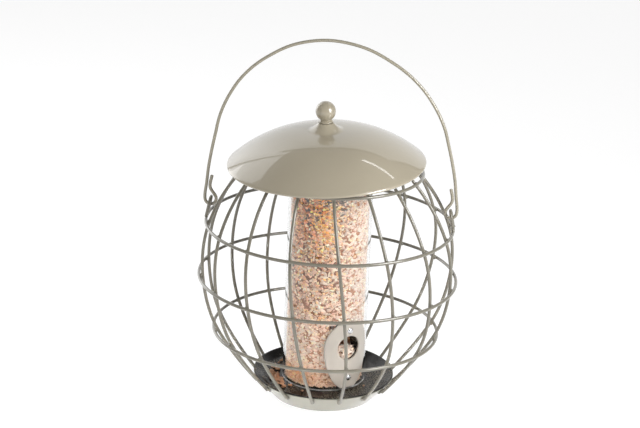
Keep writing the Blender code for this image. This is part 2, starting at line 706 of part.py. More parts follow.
def make_handle():
    """Half of the bail from the tip of its tail, round the hook and up to the crown, and then
    the same again mirrored. The bow moves both halves to the left with the square of the
    height. Places are relative to the hinge."""
    hinge = hinge_height()
    hook = eye_line(EYE_REACH)[0] + HOOK_OUT
    half = hook + HOOK_RADIUS
    inner = hook - HOOK_RADIUS
    line = [(inner + TAIL_OUT - TIP_IN, HOOK_RADIUS + TAIL_RISE + TIP_RISE),
            (inner + TAIL_OUT, HOOK_RADIUS + TAIL_RISE)]
    for angle in np.linspace(pi, 2 * pi, 9):
        line.append((hook + HOOK_RADIUS * cos(angle), HOOK_RADIUS + HOOK_RADIUS * sin(angle)))
    line += [(out_share * half, up_share * HANDLE_RISE) for out_share, up_share in BAIL_SHARES]
    bow = [HANDLE_BOW * (up / HANDLE_RISE) ** 2 for out, up in line]
    points = [(out - aside, 0, up) for (out, up), aside in zip(line, bow)]
    points += [(-out - aside, 0, up) for (out, up), aside in reversed(list(zip(line, bow))[:-1])]
    frame = add_frame("handle_hinge", Matrix.Translation((0, 0, hinge)))
    add_piece("handle", wire_data("handle", points), PAINT, frame)


clear_scene()
FEEDER = new_collection("globe_seed_feeder")
CUTTERS = new_collection("feeder_cutters")
make_dish()
make_tray()
make_cone()
make_bolt()
make_ports(make_tube(), make_fill())
make_ribs()
make_rings()
make_eyes()
make_handle()
make_lid()
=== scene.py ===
"""Looks for a globe-caged seed feeder: painted wire, a clear tube of mixed seed, a black tray
and a domed lid, on a plain white floor in soft studio light.

Metres, +Z up, the CAD frame. Azimuths are measured from -Y, the front, towards +X.
"""
from math import asin, atan2, cos, hypot, pi, radians, sin, sqrt

import bmesh
import bpy
import numpy as np
from mathutils import Matrix, Vector


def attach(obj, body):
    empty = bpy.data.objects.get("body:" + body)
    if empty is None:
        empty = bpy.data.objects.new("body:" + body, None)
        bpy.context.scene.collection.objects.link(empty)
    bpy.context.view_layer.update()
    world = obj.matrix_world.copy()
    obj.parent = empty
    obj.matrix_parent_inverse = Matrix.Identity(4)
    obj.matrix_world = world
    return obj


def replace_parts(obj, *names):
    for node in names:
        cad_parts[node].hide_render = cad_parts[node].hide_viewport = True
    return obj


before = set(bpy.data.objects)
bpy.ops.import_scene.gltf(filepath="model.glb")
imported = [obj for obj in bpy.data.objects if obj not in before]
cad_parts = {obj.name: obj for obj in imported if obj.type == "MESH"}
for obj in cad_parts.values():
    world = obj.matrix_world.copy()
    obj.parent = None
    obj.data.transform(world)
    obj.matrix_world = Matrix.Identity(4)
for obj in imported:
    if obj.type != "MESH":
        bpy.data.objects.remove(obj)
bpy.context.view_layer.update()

RANDOM = np.random.default_rng(41)
UP = np.array([0, 0, 1.0])

# Sizes that the pieces share with the solids
FIT = 0.0003
WIRE = 0.0030
RIB_COUNT = 16
RIB_AZIMUTH, RIB_TURN = radians(11.25), radians(12.5)
RIB_TIP, RIB_FOOT_SHARE = 0.0050, 0.80
RINGS = {"lower_ring": (0.1039, 0.0639), "middle_ring": (0.1185, 0.1160),
         "upper_ring": (0.1131, 0.1667), "neck_ring": (0.0831, 0.2178)}
DISH_FOOT_RADIUS, DISH_FOOT_WIDTH, DISH_RIM_RADIUS = 0.0483, 0.0055, 0.0656
DISH_HEIGHT, DISH_WALL, DISH_PANEL_RISE, DISH_STEP = 0.0193, 0.0012, 0.0040, 0.0025
DISH_LEAN = (DISH_RIM_RADIUS - DISH_FOOT_RADIUS) / DISH_HEIGHT
DISH_ACROSS = DISH_WALL * hypot(1, DISH_LEAN)
TRAY_WALL, TRAY_FLOOR_RADIUS, TRAY_RIM_RADIUS = 0.0015, 0.0560, 0.0653
TRAY_LIP, TRAY_DEPTH, SPIGOT_RISE = 0.0012, 0.0065, 0.0012
TRAY_RIM = DISH_HEIGHT + FIT + TRAY_LIP
TRAY_BASE = TRAY_RIM - TRAY_DEPTH
TRAY_FLOOR = TRAY_BASE + TRAY_WALL
SPIGOT_TOP = TRAY_FLOOR + SPIGOT_RISE
HUB_RADIUS, BOLT_HOLE = 0.0080, 0.0025 + FIT
TUBE_RADIUS, TUBE_WALL = 0.0385, 0.0020
BORE_RADIUS = TUBE_RADIUS - TUBE_WALL
FILL_RADIUS = BORE_RADIUS - FIT
TUBE_BASE = TRAY_FLOOR + FIT
SEED_LEVEL, SEED_CROWN = TRAY_FLOOR + 0.1860, 0.0040
PORT_AZIMUTHS = {"front": radians(38.0), "rear": radians(218.0)}
PORT_Z, PORT_RADIUS = TRAY_FLOOR + 0.0415, 0.0116
PLATE_INNER, PLATE_WALL, PLATE_ROUND = TUBE_RADIUS + FIT, 0.0012, 0.00035
PLATE_HALF_WIDTH, PLATE_UPPER, PLATE_LOWER = 0.0226, 0.0275, 0.0414
PLATE_TOP, PLATE_BOTTOM = 0.0238, 0.0390
RIVET_UPPER, RIVET_LOWER, RIVET_BLIND = 0.0170, 0.0292, 0.0050
RIVET_HEAD_RADIUS, RIVET_HEAD_HEIGHT, RIVET_RADIUS = 0.0028, 0.0016, 0.0015
HOOD_DEPTH, HOOD_SIDE, HOOD_FLOOR, HOOD_TOP = 0.0145, 0.0022, 0.0068, 0.0215
LID_RADIUS, LID_RISE, LID_POWER, LID_WALL = 0.0901, 0.0305, 2.48, 0.0010
LID_TURN, LID_SLIP, LID_BASE, LID_LEAN = radians(-47.1), 0.0067, 0.2268, radians(4.0)
LID_PLACE = (Matrix.Rotation(LID_TURN, 4, "Z") @ Matrix.Translation((0, -LID_SLIP, LID_BASE))
             @ Matrix.Rotation(LID_LEAN, 4, "X"))
LID_BEAD, LID_NECK_RADIUS = 0.0013, 0.0070
LID_FLARE_RADIUS, LID_FLARE_RISE = 0.0180, 0.0073
KNOB_RADIUS, KNOB_NECK_RADIUS, KNOB_NECK_RISE = 0.0092, 0.0050, 0.0025
STUD_RADIUS, STUD_LENGTH = 0.0030, 0.0100
EYE_HALF_WIDTH, EYE_LEAN, EYE_REACH = 0.0060, radians(11.5), 0.0171
EYE_FOOT = RINGS["upper_ring"][1] + (WIRE / 2 + FIT) / cos(EYE_LEAN)
HOOK_PLAY, HOOK_OUT, HOOK_RADIUS = 0.0043, 0.0004, 0.0053
HANDLE_RISE, HANDLE_BOW = 0.1597, 0.0067
TAIL_OUT, TAIL_RISE, TIP_IN, TIP_RISE = 0.0060, 0.0110, 0.0018, 0.0117
# The bail above its hooks, as shares of its half width there and of its rise
BAIL_SHARES = np.array([(0.988, 0.128), (0.973, 0.225), (0.948, 0.325), (0.917, 0.425),
                        (0.883, 0.525), (0.841, 0.601), (0.784, 0.676), (0.724, 0.739),
                        (0.646, 0.801), (0.565, 0.851), (0.461, 0.901), (0.308, 0.958),
                        (0.160, 0.988), (0, 1)])

# How an open wire's end rounds off: distances from the end and radii, as shares of the
# thickness and of the full radius
WIRE_ENDS = np.array([(0.0, 0.02, 0.10, 0.22), (0.0, 0.80, 0.95, 1.0)])
WIRE_STEP = 0.0012
MERGE_REACH, SLIVER = 2e-7, 1e-8
# Half sizes of the weld beads, and how far they differ
FOOT_BEAD, CROSSING_BEAD, EYE_BEAD = ((0.0021, 0.0046, 0.0013), (0.0022, 0.0022, 0.0013),
                                      (0.0025, 0.0016, 0.0018))
BEAD_SPREAD = (0.88, 1.12)
# The tube's wall: half side of the patch round a port, end of the close rows and start of the
# others, and its sawn edge
PORT_PATCH, CLOSE_ROWS_END, WIDE_ROWS_START, SAWN_EDGE = 0.0150, 0.090, 0.096, 0.0012


# Lines and directions

def full_turn(count):
    """Evenly spaced angles of one turn."""
    return np.linspace(0, 2 * pi, count, endpoint=False)


def on_circle(radius, azimuth, height):
    """Places (radius sin a, -radius cos a, height) at the azimuths a."""
    azimuth = np.asarray(azimuth, float)
    return np.stack([radius * np.sin(azimuth), -radius * np.cos(azimuth), height + 0 * azimuth], -1)


def beside(azimuth, rise=0.0):
    """Directions (cos a, sin a, rise), which at rise 0 run along the circle at the azimuths a."""
    return np.stack([np.cos(azimuth), np.sin(azimuth), rise + 0 * azimuth], -1)


def arc(across, up, radius, start, stop, count):
    """Points of an arc in a plane, from the bearing start to the bearing stop."""
    turn = np.linspace(start, stop, count)
    return np.stack([across + radius * np.cos(turn), up + radius * np.sin(turn)], -1)


def unit(vectors):
    return vectors / np.linalg.norm(vectors, axis=-1, keepdims=True)


def square_to(along, near):
    """Unit directions square to along that lie as near to near as they can."""
    return unit(near - (near * along).sum(-1, keepdims=True) * along)


def moved(points, matrix):
    """Points carried by a 4 x 4 matrix, as one array."""
    return points @ np.array(matrix.to_3x3()).T + np.array(matrix.translation)


def evenly(path):
    """The same line with its points one wire step apart along it."""
    reach = np.concatenate([[0], np.cumsum(np.linalg.norm(np.diff(path, axis=0), axis=1))])
    at = np.linspace(0, reach[-1], int(round(reach[-1] / WIRE_STEP)) + 1)
    return np.stack([np.interp(at, reach, path[:, k]) for k in range(3)], -1)


def cubic_line(points, along, samples):
    """A curve through points, in the directions along there. At the share s of the span from a
    to b, with the directions p and q at its ends and the length n, the place is
    (1 + 2s)(1 - s)^2 a + s^2 (3 - 2s) b + n (s (1 - s)^2 p - s^2 (1 - s) q)."""
    s = (np.arange(samples) / samples)[None, :, None]
    a, b, p, q = points[:-1, None], points[1:, None], along[:-1, None], along[1:, None]
    length = np.linalg.norm(b - a, axis=-1, keepdims=True)
    line = ((1 + 2 * s) * (1 - s) ** 2 * a + s * s * (3 - 2 * s) * b
            + length * (s * (1 - s) ** 2 * p - s * s * (1 - s) * q))
    return np.concatenate([line.reshape(-1, points.shape[1]), points[-1:]])


# Meshes from arrays

def quad_table(rows, columns, wrap_rows=False):
    """Corner numbers of the quads of a grid whose point (i, j) has the number i * columns + j.
    Its rows close on themselves."""
    i = np.arange(rows if wrap_rows else rows - 1)
    i, j = np.meshgrid(i, np.arange(columns), indexing="ij")
    near, far, right = i * columns, (i + 1) % rows * columns, (j + 1) % columns
    return np.stack([near + j, near + right, far + right, far + j], -1).reshape(-1, 4)


def add_object(name, data):
    made = bpy.data.objects.new(name, data)
    bpy.context.scene.collection.objects.link(made)
    return made


def piece_from(name, points, faces, body, material, sharp=50.0, weld=True):
    """A finished piece from its points and quads: doubles merged, smooth but for sharp edges."""
    mesh = bpy.data.meshes.new(name)
    mesh.from_pydata(points.reshape(-1, 3).tolist(), [], faces.tolist())
    if weld:
        shape = bmesh.new()
        shape.from_mesh(mesh)
        bmesh.ops.remove_doubles(shape, verts=shape.verts, dist=MERGE_REACH)
        bmesh.ops.dissolve_degenerate(shape, edges=shape.edges, dist=SLIVER)
        bmesh.ops.recalc_face_normals(shape, faces=shape.faces)
        shape.to_mesh(mesh)
        shape.free()
    mesh.polygons.foreach_set("use_smooth", np.ones(len(mesh.polygons), bool))
    mesh.set_sharp_from_angle(angle=radians(sharp))
    mesh.materials.append(material)
    piece = add_object(name, mesh)
    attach(piece, body)
    return piece


def eased(outline, reach):
    """Rounds each corner of a closed outline: the corner is cut back by reach, or by two fifths
    of a shorter side, and the two ends are joined by a quadratic curve that the corner pulls."""
    outline = np.array(outline, float)
    ends = []
    for shift in (1, -1):
        side = np.roll(outline, shift, 0) - outline
        length = np.linalg.norm(side, axis=1)[:, None]
        ends.append((outline + side * np.minimum(reach / length, 0.4))[:, None])
    start, end = ends
    t = np.linspace(0, 1, 5)[None, :, None]
    curve = (1 - t) ** 2 * start + 2 * t * (1 - t) * outline[:, None] + t * t * end
    return curve.reshape(-1, 2)


def lathe(name, outline, body, material, closed=True, steps=144, place=Matrix(), sharp=50.0):
    """An outline of (radius, height) pairs turned about the Z axis: the point for outline place
    (r, z) and angle a is (r sin a, -r cos a, z). The matrix place then carries the piece."""
    outline = np.asarray(outline, float)
    points = moved(on_circle(outline[:, :1], full_turn(steps), outline[:, 1:]), place)
    return piece_from(name, points, quad_table(len(points), steps, closed), body, material, sharp)


def wire(name, path, aside, body, material, closed=False, sides=14):
    """Round wire: a circle of the wire's radius, square to the path at each of its points. One
    axis of the circle is the direction aside, made square to the path; the other is square to
    both. An open wire's ends round off over the last fifth of its thickness."""
    if closed:
        along = unit(np.roll(path, -1, 0) - np.roll(path, 1, 0))
    else:
        along = unit(np.gradient(path, axis=0))
    aside = square_to(along, np.asarray(aside, float))
    third = np.cross(along, aside)
    radius = np.full(len(path), WIRE / 2)
    if not closed:
        lead, share = WIRE_ENDS * WIRE
        lead, share = lead[:, None], share / 2
        path = np.concatenate([path[0] + lead * along[0], path[1:-1],
                               path[-1] - lead[::-1] * along[-1]])
        radius = np.concatenate([share, radius[1:-1], share[::-1]])
        aside, third = (np.concatenate([axis[[0] * 4], axis[1:-1], axis[[-1] * 4]])
                        for axis in (aside, third))
    angle = full_turn(sides)[:, None]
    ring = np.cos(angle) * aside[:, None] + np.sin(angle) * third[:, None]
    points = path[:, None] + radius[:, None, None] * ring
    return piece_from(name, points, quad_table(len(points), sides, closed), body,
                      material)


# Shader nodes

def feed(tree, node, values):
    """Feeds a node's inputs, each found by its label or number. A value that is a socket is
    linked; any other is set on the input itself, and a colour gets its alpha there."""
    for label, value in values.items():
        socket = node.inputs[label]
        if isinstance(value, bpy.types.NodeSocket):
            tree.links.new(value, socket)
        elif isinstance(value, tuple):
            socket.default_value = (*value, 1.0)[:len(socket.default_value)]
        else:
            socket.default_value = value
    return node


def add_node(tree, kind, values=None, **settings):
    """The outputs of a new shader node with these settings, its inputs fed with the values."""
    node = tree.nodes.new("ShaderNode" + kind)
    for label, value in settings.items():
        setattr(node, label, value)
    return feed(tree, node, values or {}).outputs


def math(tree, operation, a, b, c=0.0, clamp=False):
    return add_node(tree, "Math", {0: a, 1: b, 2: c}, operation=operation, use_clamp=clamp)[0]


def scaled(tree, value, by, plus=0.0):
    """value * by + plus."""
    return math(tree, "MULTIPLY_ADD", value, by, plus)


def noise(tree, vector, scale, detail=3.0, roughness=0.5):
    values = {"Vector": vector, "Scale": scale, "Detail": detail, "Roughness": roughness}
    return add_node(tree, "TexNoise", values)["Fac"]


def mix_colour(tree, factor, a, b, blend="MIX"):
    values = {"Factor": factor, 6: a, 7: b}
    return add_node(tree, "Mix", values, data_type="RGBA", blend_type=blend)[2]


def ramp(tree, value, low, high):
    """0 below low, 1 above high, smooth between."""
    values = {"Value": value, "From Min": low, "From Max": high}
    return add_node(tree, "MapRange", values, interpolation_type="SMOOTHSTEP")["Result"]


def object_place(tree):
    return add_node(tree, "TexCoord")["Object"]


def object_axis(tree, axis):
    return add_node(tree, "SeparateXYZ", {0: object_place(tree)})[axis]


def light_path(tree, *kinds):
    """1 for rays of any of these kinds, 0 for the rest."""
    path = add_node(tree, "LightPath")
    level = path[kinds[0]]
    for kind in kinds[1:]:
        level = math(tree, "MAXIMUM", level, path[kind])
    return level


def mix_surfaces(tree, factor, a, b):
    mixed = add_node(tree, "MixShader", {0: factor, 1: a, 2: b})[0]
    feed(tree, tree.nodes["Material Output"], {"Surface": mixed})


# Shader node groups, each built once and used by several materials

SOCKET_KINDS = {"Vector": "NodeSocketVector", "Colour": "NodeSocketColor"}


def new_group(name, inputs, outputs):
    """A group with a vector and these other inputs, all of which each use of it gives."""
    group = bpy.data.node_groups.new(name, "ShaderNodeTree")
    for side, labels in (("INPUT", ("Vector", *inputs)), ("OUTPUT", outputs)):
        for label in labels:
            kind = SOCKET_KINDS.get(label, "NodeSocketFloat")
            group.interface.new_socket(label, in_out=side, socket_type=kind)
    return group, group.nodes.new("NodeGroupInput").outputs, group.nodes.new("NodeGroupOutput")


def speckle_group():
    """Fine dust and specks: small dots of a noise above a level, and the fine noise itself."""
    group, given, result = new_group("speckle", ("Scale", "Level"), ("Specks", "Grain"))
    fine = noise(group, given["Vector"], given["Scale"], 2.0, 0.6)
    patch = noise(group, given["Vector"], scaled(group, given["Scale"], 0.04))
    dots = ramp(group, fine, given["Level"], math(group, "ADD", given["Level"], 0.06))
    specks = scaled(group, dots, ramp(group, patch, 0.42, 0.66))
    feed(group, result, {"Specks": specks, "Grain": fine})
    return group


def drift_group():
    """Slow change of a colour over a piece, lighter and darker by a share."""
    group, given, result = new_group("drift", ("Colour", "Scale", "Amount"), ("Colour", "Cloud"))
    cloud = noise(group, given["Vector"], given["Scale"], 4.0, 0.55)
    level = scaled(group, cloud, 2.0, -1.0)
    level = scaled(group, level, given["Amount"], 1.0)
    tone = add_node(group, "VectorMath", {0: given["Colour"], "Scale": level}, operation="SCALE")[0]
    feed(group, result, {"Colour": tone, "Cloud": cloud})
    return group


def peel_group():
    """The soft ripple of sprayed or moulded gloss: two noises, one much finer."""
    group, given, result = new_group("peel", ("Scale",), ("Height",))
    broad = noise(group, given["Vector"], given["Scale"], 1.0)
    fine = noise(group, given["Vector"], scaled(group, given["Scale"], 4.5), 1.0)
    feed(group, result, {"Height": scaled(group, fine, 0.25, broad)})
    return group


SPECKLE, DRIFT, PEEL = speckle_group(), drift_group(), peel_group()


def use_group(tree, group, **values):
    """A group's outputs. Its vector is the place on the object unless the values say another."""
    return add_node(tree, "Group", {"Vector": object_place(tree), **values}, node_tree=group)


# Materials

def new_material(name, **constants):
    """A material with its Principled shader, whose constant values are set on its sockets."""
    made = bpy.data.materials.new(name)
    made.use_nodes = True
    shader = made.node_tree.nodes["Principled BSDF"]
    for label, value in constants.items():
        shader.inputs[label.replace("_", " ")].default_value = value
    return made, made.node_tree, shader


def dress(tree, shader, base, rough, height, strength, depth):
    """Feeds a shader its colour, its roughness and a bump of this strength and depth."""
    bump = add_node(tree, "Bump", {"Strength": strength, "Distance": depth, "Height": height})
    feed(tree, shader, {"Base Color": base, "Roughness": rough, "Normal": bump["Normal"]})


def paint_material(name, colour, ripple, specks):
    """Glossy sprayed enamel: a slow drift of tone, orange-peel ripple and a little dust."""
    made, tree, shader = new_material(name, Metallic=0.0, Coat_Weight=1.0, Coat_Roughness=0.03,
                                      Coat_IOR=1.5, IOR=1.45)
    tone = use_group(tree, DRIFT, Colour=colour, Scale=22.0, Amount=0.07)
    dust = use_group(tree, SPECKLE, Scale=1400.0, Level=0.70)
    peel = use_group(tree, PEEL, Scale=240.0)
    faint = scaled(tree, dust["Specks"], specks)
    base = mix_colour(tree, faint, tone["Colour"], (0.66, 0.62, 0.54))
    rough = scaled(tree, dust["Grain"], 0.10, 0.27)
    rough = scaled(tree, faint, 0.3, rough)
    dress(tree, shader, base, rough, peel["Height"], ripple, 0.0006)
    return made


def black_plastic():
    """Glossy moulded black with faint flow marks, scuffs and pale olive specks on it."""
    made, tree, shader = new_material("black_moulding", Metallic=0.0, IOR=1.31)
    tone = use_group(tree, DRIFT, Colour=(0.009, 0.008, 0.007), Scale=30.0, Amount=0.25)
    dust = use_group(tree, SPECKLE, Scale=900.0, Level=0.53)
    peel = use_group(tree, PEEL, Scale=160.0)
    cover = scaled(tree, dust["Specks"], 0.50)
    base = mix_colour(tree, cover, tone["Colour"], (0.40, 0.35, 0.25))
    rough = scaled(tree, tone["Cloud"], 0.22, 0.06)
    rough = math(tree, "ADD", rough, cover, clamp=True)
    dress(tree, shader, base, rough, peel["Height"], 0.08, 0.0005)
    return made


def clear_plastic():
    """Clear extruded tube: a very slight ripple down its length, a haze of seed dust and a rough
    sawn edge at its foot. It casts hardly any shadow."""
    made, tree, shader = new_material("clear_tube", Metallic=0.0, IOR=1.49, Transmission_Weight=1.0)
    stretch = {"Vector": object_place(tree), "Scale": (1.0, 1.0, 0.06)}
    stretched = add_node(tree, "Mapping", stretch)["Vector"]
    dust = use_group(tree, SPECKLE, Scale=700.0, Level=0.64)["Specks"]
    peel = use_group(tree, PEEL, Vector=stretched, Scale=110.0)
    base = mix_colour(tree, scaled(tree, dust, 0.12), (0.985, 0.99, 0.99), (0.86, 0.80, 0.72))
    rough = scaled(tree, dust, 0.10, 0.015)
    above_cut = ramp(tree, object_axis(tree, "Z"), TUBE_BASE, TUBE_BASE + SAWN_EDGE)
    sawn = math(tree, "SUBTRACT", 1.0, above_cut)
    rough = scaled(tree, sawn, 0.5, rough)
    dress(tree, shader, base, rough, peel["Height"], 0.05, 0.0004)
    through = add_node(tree, "BsdfTransparent", {"Color": (0.93, 0.93, 0.93)})[0]
    unseen = light_path(tree, "Is Shadow Ray", "Is Diffuse Ray")
    mix_surfaces(tree, unseen, shader.outputs[0], through)
    return made


def bright_steel():
    """Plain bright metal for rivets, bolt, washer and nuts, with fine brushed scatter."""
    made, tree, shader = new_material("bright_fastener", Metallic=1.0)
    tone = use_group(tree, DRIFT, Colour=(0.72, 0.72, 0.73), Scale=500.0, Amount=0.12)
    peel = use_group(tree, PEEL, Scale=900.0)
    rough = scaled(tree, tone["Cloud"], 0.2, 0.16)
    dress(tree, shader, tone["Colour"], rough, peel["Height"], 0.10, 0.0001)
    return made


def seed_material(name, sheen, rough, crease, mottle):
    """One kind of seed, with painted shade in the crease along its belly. The attributes that each
    seed brings are seed_tint, its colour with painted light and shade by place; seed_place, the
    place on it as shares of its half length, width and thickness, shifted for each seed; and
    seed_belly, the place across its belly."""
    made, tree, shader = new_material(name, Metallic=0.0, IOR=1.45, Coat_Weight=sheen,
                                      Coat_Roughness=0.3)
    tint, place, belly = (add_node(tree, "Attribute", attribute_name="seed_" + label)
                          for label in ("tint", "place", "belly"))
    tint, place = tint["Color"], place["Vector"]
    cloud = noise(tree, place, 2.2, 3.0, 0.6)
    dark = mix_colour(tree, 1.0, tint, (0.62, 0.46, 0.34), "MULTIPLY")
    spots = scaled(tree, ramp(tree, cloud, 0.45, 0.75), mottle)
    # Painted shade darkens the crease along the belly of the seeds that have one
    crease_shade = scaled(tree, ramp(tree, belly["Fac"], 0.72, 0.97), crease)
    base = mix_colour(tree, crease_shade, mix_colour(tree, spots, tint, dark), (0.16, 0.085, 0.045))
    rough = scaled(tree, cloud, 0.2, rough)
    dress(tree, shader, base, rough, noise(tree, place, 6.0, 2.0), 0.25, 0.0003)
    return made


def shaded_seed_bed():
    """The seed deep in the tube, seen only between the outer grains: painted dark, as the shade
    between the grains, and paler low down and at the right, as painted light."""
    made, tree, shader = new_material("shaded_seed_bed", Metallic=0.0, Coat_Weight=0.0)
    place = object_place(tree)
    cells = add_node(tree, "TexVoronoi", {"Vector": place, "Scale": 300.0})
    # Painted light: paler low down and at the right
    low = math(tree, "SUBTRACT", 1.0, ramp(tree, object_axis(tree, "Z"), 0.03, 0.15))
    painted_light = math(tree, "MAXIMUM", low, ramp(tree, object_axis(tree, "X"), 0.0, 0.03))
    # Painted shade: the dark colour between the grains
    deep = mix_colour(tree, noise(tree, place, 260.0), (0.085, 0.022, 0.006), (0.22, 0.070, 0.020))
    base = mix_colour(tree, scaled(tree, painted_light, 0.65), deep, (0.74, 0.35, 0.18))
    rough = scaled(tree, noise(tree, place, 500.0), 0.3, 0.5)
    dress(tree, shader, base, rough, cells["Distance"], 1.0, 0.0015)
    return made


PAINT = paint_material("stone_enamel", (0.345, 0.305, 0.228), 0.10, 0.10)
# The wires and the bail use the lid's enamel painted darker, as painted shade
WIRE_PAINT_SHADED = paint_material("wire_enamel_shaded", (0.172, 0.158, 0.122), 0.07, 0.16)
HANDLE_PAINT_SHADED = paint_material("handle_enamel_shaded", (0.285, 0.260, 0.200), 0.07, 0.14)
# The port plates use the lid's enamel painted lighter, as painted light
PLATE_PAINT_LIT = paint_material("plate_enamel_lit", (0.45, 0.405, 0.35), 0.08, 0.12)
DISH_PAINT = paint_material("dish_enamel", (0.35, 0.335, 0.268), 0.08, 0.12)
BLACK, CLEAR, STEEL, BED = black_plastic(), clear_plastic(), bright_steel(), shaded_seed_bed()


# Cage wires

def far_end(direction, chord):
    """The direction in which an arc that starts along direction ends, at its chord's far end."""
    return 2 * np.dot(direction, chord) * chord - direction


def rib_knots():
    """Where a rib passes the dish's wall, its rim and the four rings, in (radius, height): what
    it touches there, its own places and its directions. It lies one wire and a fit inside each
    ring."""
    share = RIB_FOOT_SHARE
    foot = (DISH_FOOT_RADIUS + share * (DISH_RIM_RADIUS - DISH_FOOT_RADIUS), share * DISH_HEIGHT)
    contacts = np.array([foot, (DISH_RIM_RADIUS, DISH_HEIGHT), *RINGS.values()])
    along = [unit(b - a) for a, b in zip(contacts, contacts[2:])]
    along.insert(0, far_end(along[0], unit(contacts[1] - contacts[0])))
    along.append(far_end(along[-1], unit(contacts[-1] - contacts[-2])))
    along = np.array(along)
    offset = np.array([WIRE / 2 + FIT] * 2 + [-(WIRE + FIT)] * 4)[:, None]
    return contacts, contacts + offset * np.stack([along[:, 1], -along[:, 0]], -1), along


def rib_azimuth(index, height):
    turned = (height - RINGS["middle_ring"][1]) / (RINGS["neck_ring"][1] - DISH_HEIGHT * RIB_FOOT_SHARE)
    return RIB_AZIMUTH + index * 2 * pi / RIB_COUNT - RIB_TURN * turned


def make_cage():
    _, knots, along = rib_knots()
    tip = [knots[-1:] + share * RIB_TIP * along[-1:] for share in (0.5, 1.0)]
    radius, height = np.concatenate([cubic_line(knots, along, 18), *tip]).T
    for index in range(RIB_COUNT):
        azimuth = rib_azimuth(index, height)
        name = "rib_wire_%02d" % (index + 1)
        rib = wire(name, on_circle(radius, azimuth, height), beside(azimuth), "cage", WIRE_PAINT_SHADED)
        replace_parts(rib, "cage_rib_%02d" % (index + 1))
    for node, (radius, height) in RINGS.items():
        path = on_circle(radius, full_turn(240), height)
        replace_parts(wire(node + "_wire", path, UP, "cage", WIRE_PAINT_SHADED, closed=True), node)


def bead_points(centres, frames, halves, rows=7, columns=12):
    """Weld beads. Each is a ball stretched to its three half sizes along its own axes, with a
    low random swell: the point at turn u and height v is
    centre + half * (cos u cos v, sin u cos v, sin v) * (1 + swell) on those axes."""
    v, u = np.meshgrid(np.linspace(-pi / 2, pi / 2, rows), full_turn(columns), indexing="ij")
    ball = np.stack([np.cos(u) * np.cos(v), np.sin(u) * np.cos(v), np.sin(v)], -1).reshape(-1, 3)
    phase = RANDOM.uniform(0, 2 * pi, (len(centres), 3, 1))
    swell = sum(depth * np.sin(waves * ball[:, k] + phase[:, k])
                for k, (depth, waves) in enumerate([(0.09, 3), (0.07, 4), (0.05, 5)]))
    local = ball * halves[:, None] * (1 + swell[..., None])
    points = centres[:, None] + np.einsum("nij,nvj->nvi", frames, local)
    faces = quad_table(rows, columns) + (np.arange(len(centres)) * rows * columns)[:, None, None]
    return points, faces.reshape(-1, 4)


def bead_frame(azimuth, slope):
    """Axes of a bead: along the ring, up the rib, and out from both."""
    round_about = beside(azimuth)
    up = slope[0] * on_circle(1.0, azimuth, 0.0) + slope[1] * UP
    return np.stack([round_about, up, np.cross(round_about, up)], -1)


def make_welds():
    """A bead in each corner where a rib crosses a ring, at each rib's foot and on the eyes."""
    beads = []
    index = np.arange(RIB_COUNT)
    for k, (contact, knot, slope) in enumerate(zip(*rib_knots())):
        if k == 1:
            continue
        middle, size = (knot + contact) / 2, CROSSING_BEAD
        if k == 0:
            middle, size = knot * 0.55 + contact * 0.45 + slope * 0.0008, FOOT_BEAD
        azimuth = rib_azimuth(index, knot[1])
        beads.append((on_circle(middle[0], azimuth, middle[1]), bead_frame(azimuth, slope),
                      size * RANDOM.uniform(*BEAD_SPREAD, (RIB_COUNT, 3))))
    radius, height = RINGS["upper_ring"]
    for facing in (pi / 2, -pi / 2):
        for side in (-1, 1):
            azimuth = np.array([facing + side * asin(EYE_HALF_WIDTH / radius)])
            beads.append((on_circle(radius, azimuth, height + WIRE / 2),
                          bead_frame(azimuth, (-sin(EYE_LEAN), cos(EYE_LEAN))),
                          np.array([EYE_BEAD])))
    points, faces = bead_points(*(np.concatenate(part) for part in zip(*beads)))
    piece_from("weld_beads", points, faces, "cage", WIRE_PAINT_SHADED, sharp=80.0)


def eye_line(along):
    """Distance from the axis and height, this far up an eye from its foot on the upper ring."""
    ring = sqrt(RINGS["upper_ring"][0] ** 2 - EYE_HALF_WIDTH ** 2)
    return ring - along * sin(EYE_LEAN), EYE_FOOT + along * cos(EYE_LEAN)


def make_eyes():
    """Two legs and a half circle between them, in a plane that leans in."""
    arch = arc(0, EYE_REACH - EYE_HALF_WIDTH, EYE_HALF_WIDTH, 0, pi, 25)
    across, along = np.concatenate([[(EYE_HALF_WIDTH, 0)], arch, [(-EYE_HALF_WIDTH, 0)]]).T
    out, height = eye_line(along)
    for side, sign in (("right", 1), ("left", -1)):
        path = evenly(np.stack([sign * out, sign * across, height], -1))
        aside = (sign * cos(EYE_LEAN), 0, sin(EYE_LEAN))
        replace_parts(wire("eye_wire_" + side, path, aside, "cage", WIRE_PAINT_SHADED), "handle_eye_" + side)


def curve_through(points):
    """A cubic between each two points. Its direction at a point is the mean of the two spans'
    directions there, each weighted by the other span's length."""
    spans = np.linalg.norm(np.diff(points, axis=0), axis=1)[:, None]
    slopes = np.diff(points, axis=0) / spans
    between = (slopes[:-1] * spans[1:] + slopes[1:] * spans[:-1]) / (spans[:-1] + spans[1:])
    return cubic_line(points, np.concatenate([slopes[:1], between, slopes[-1:]]), 12)


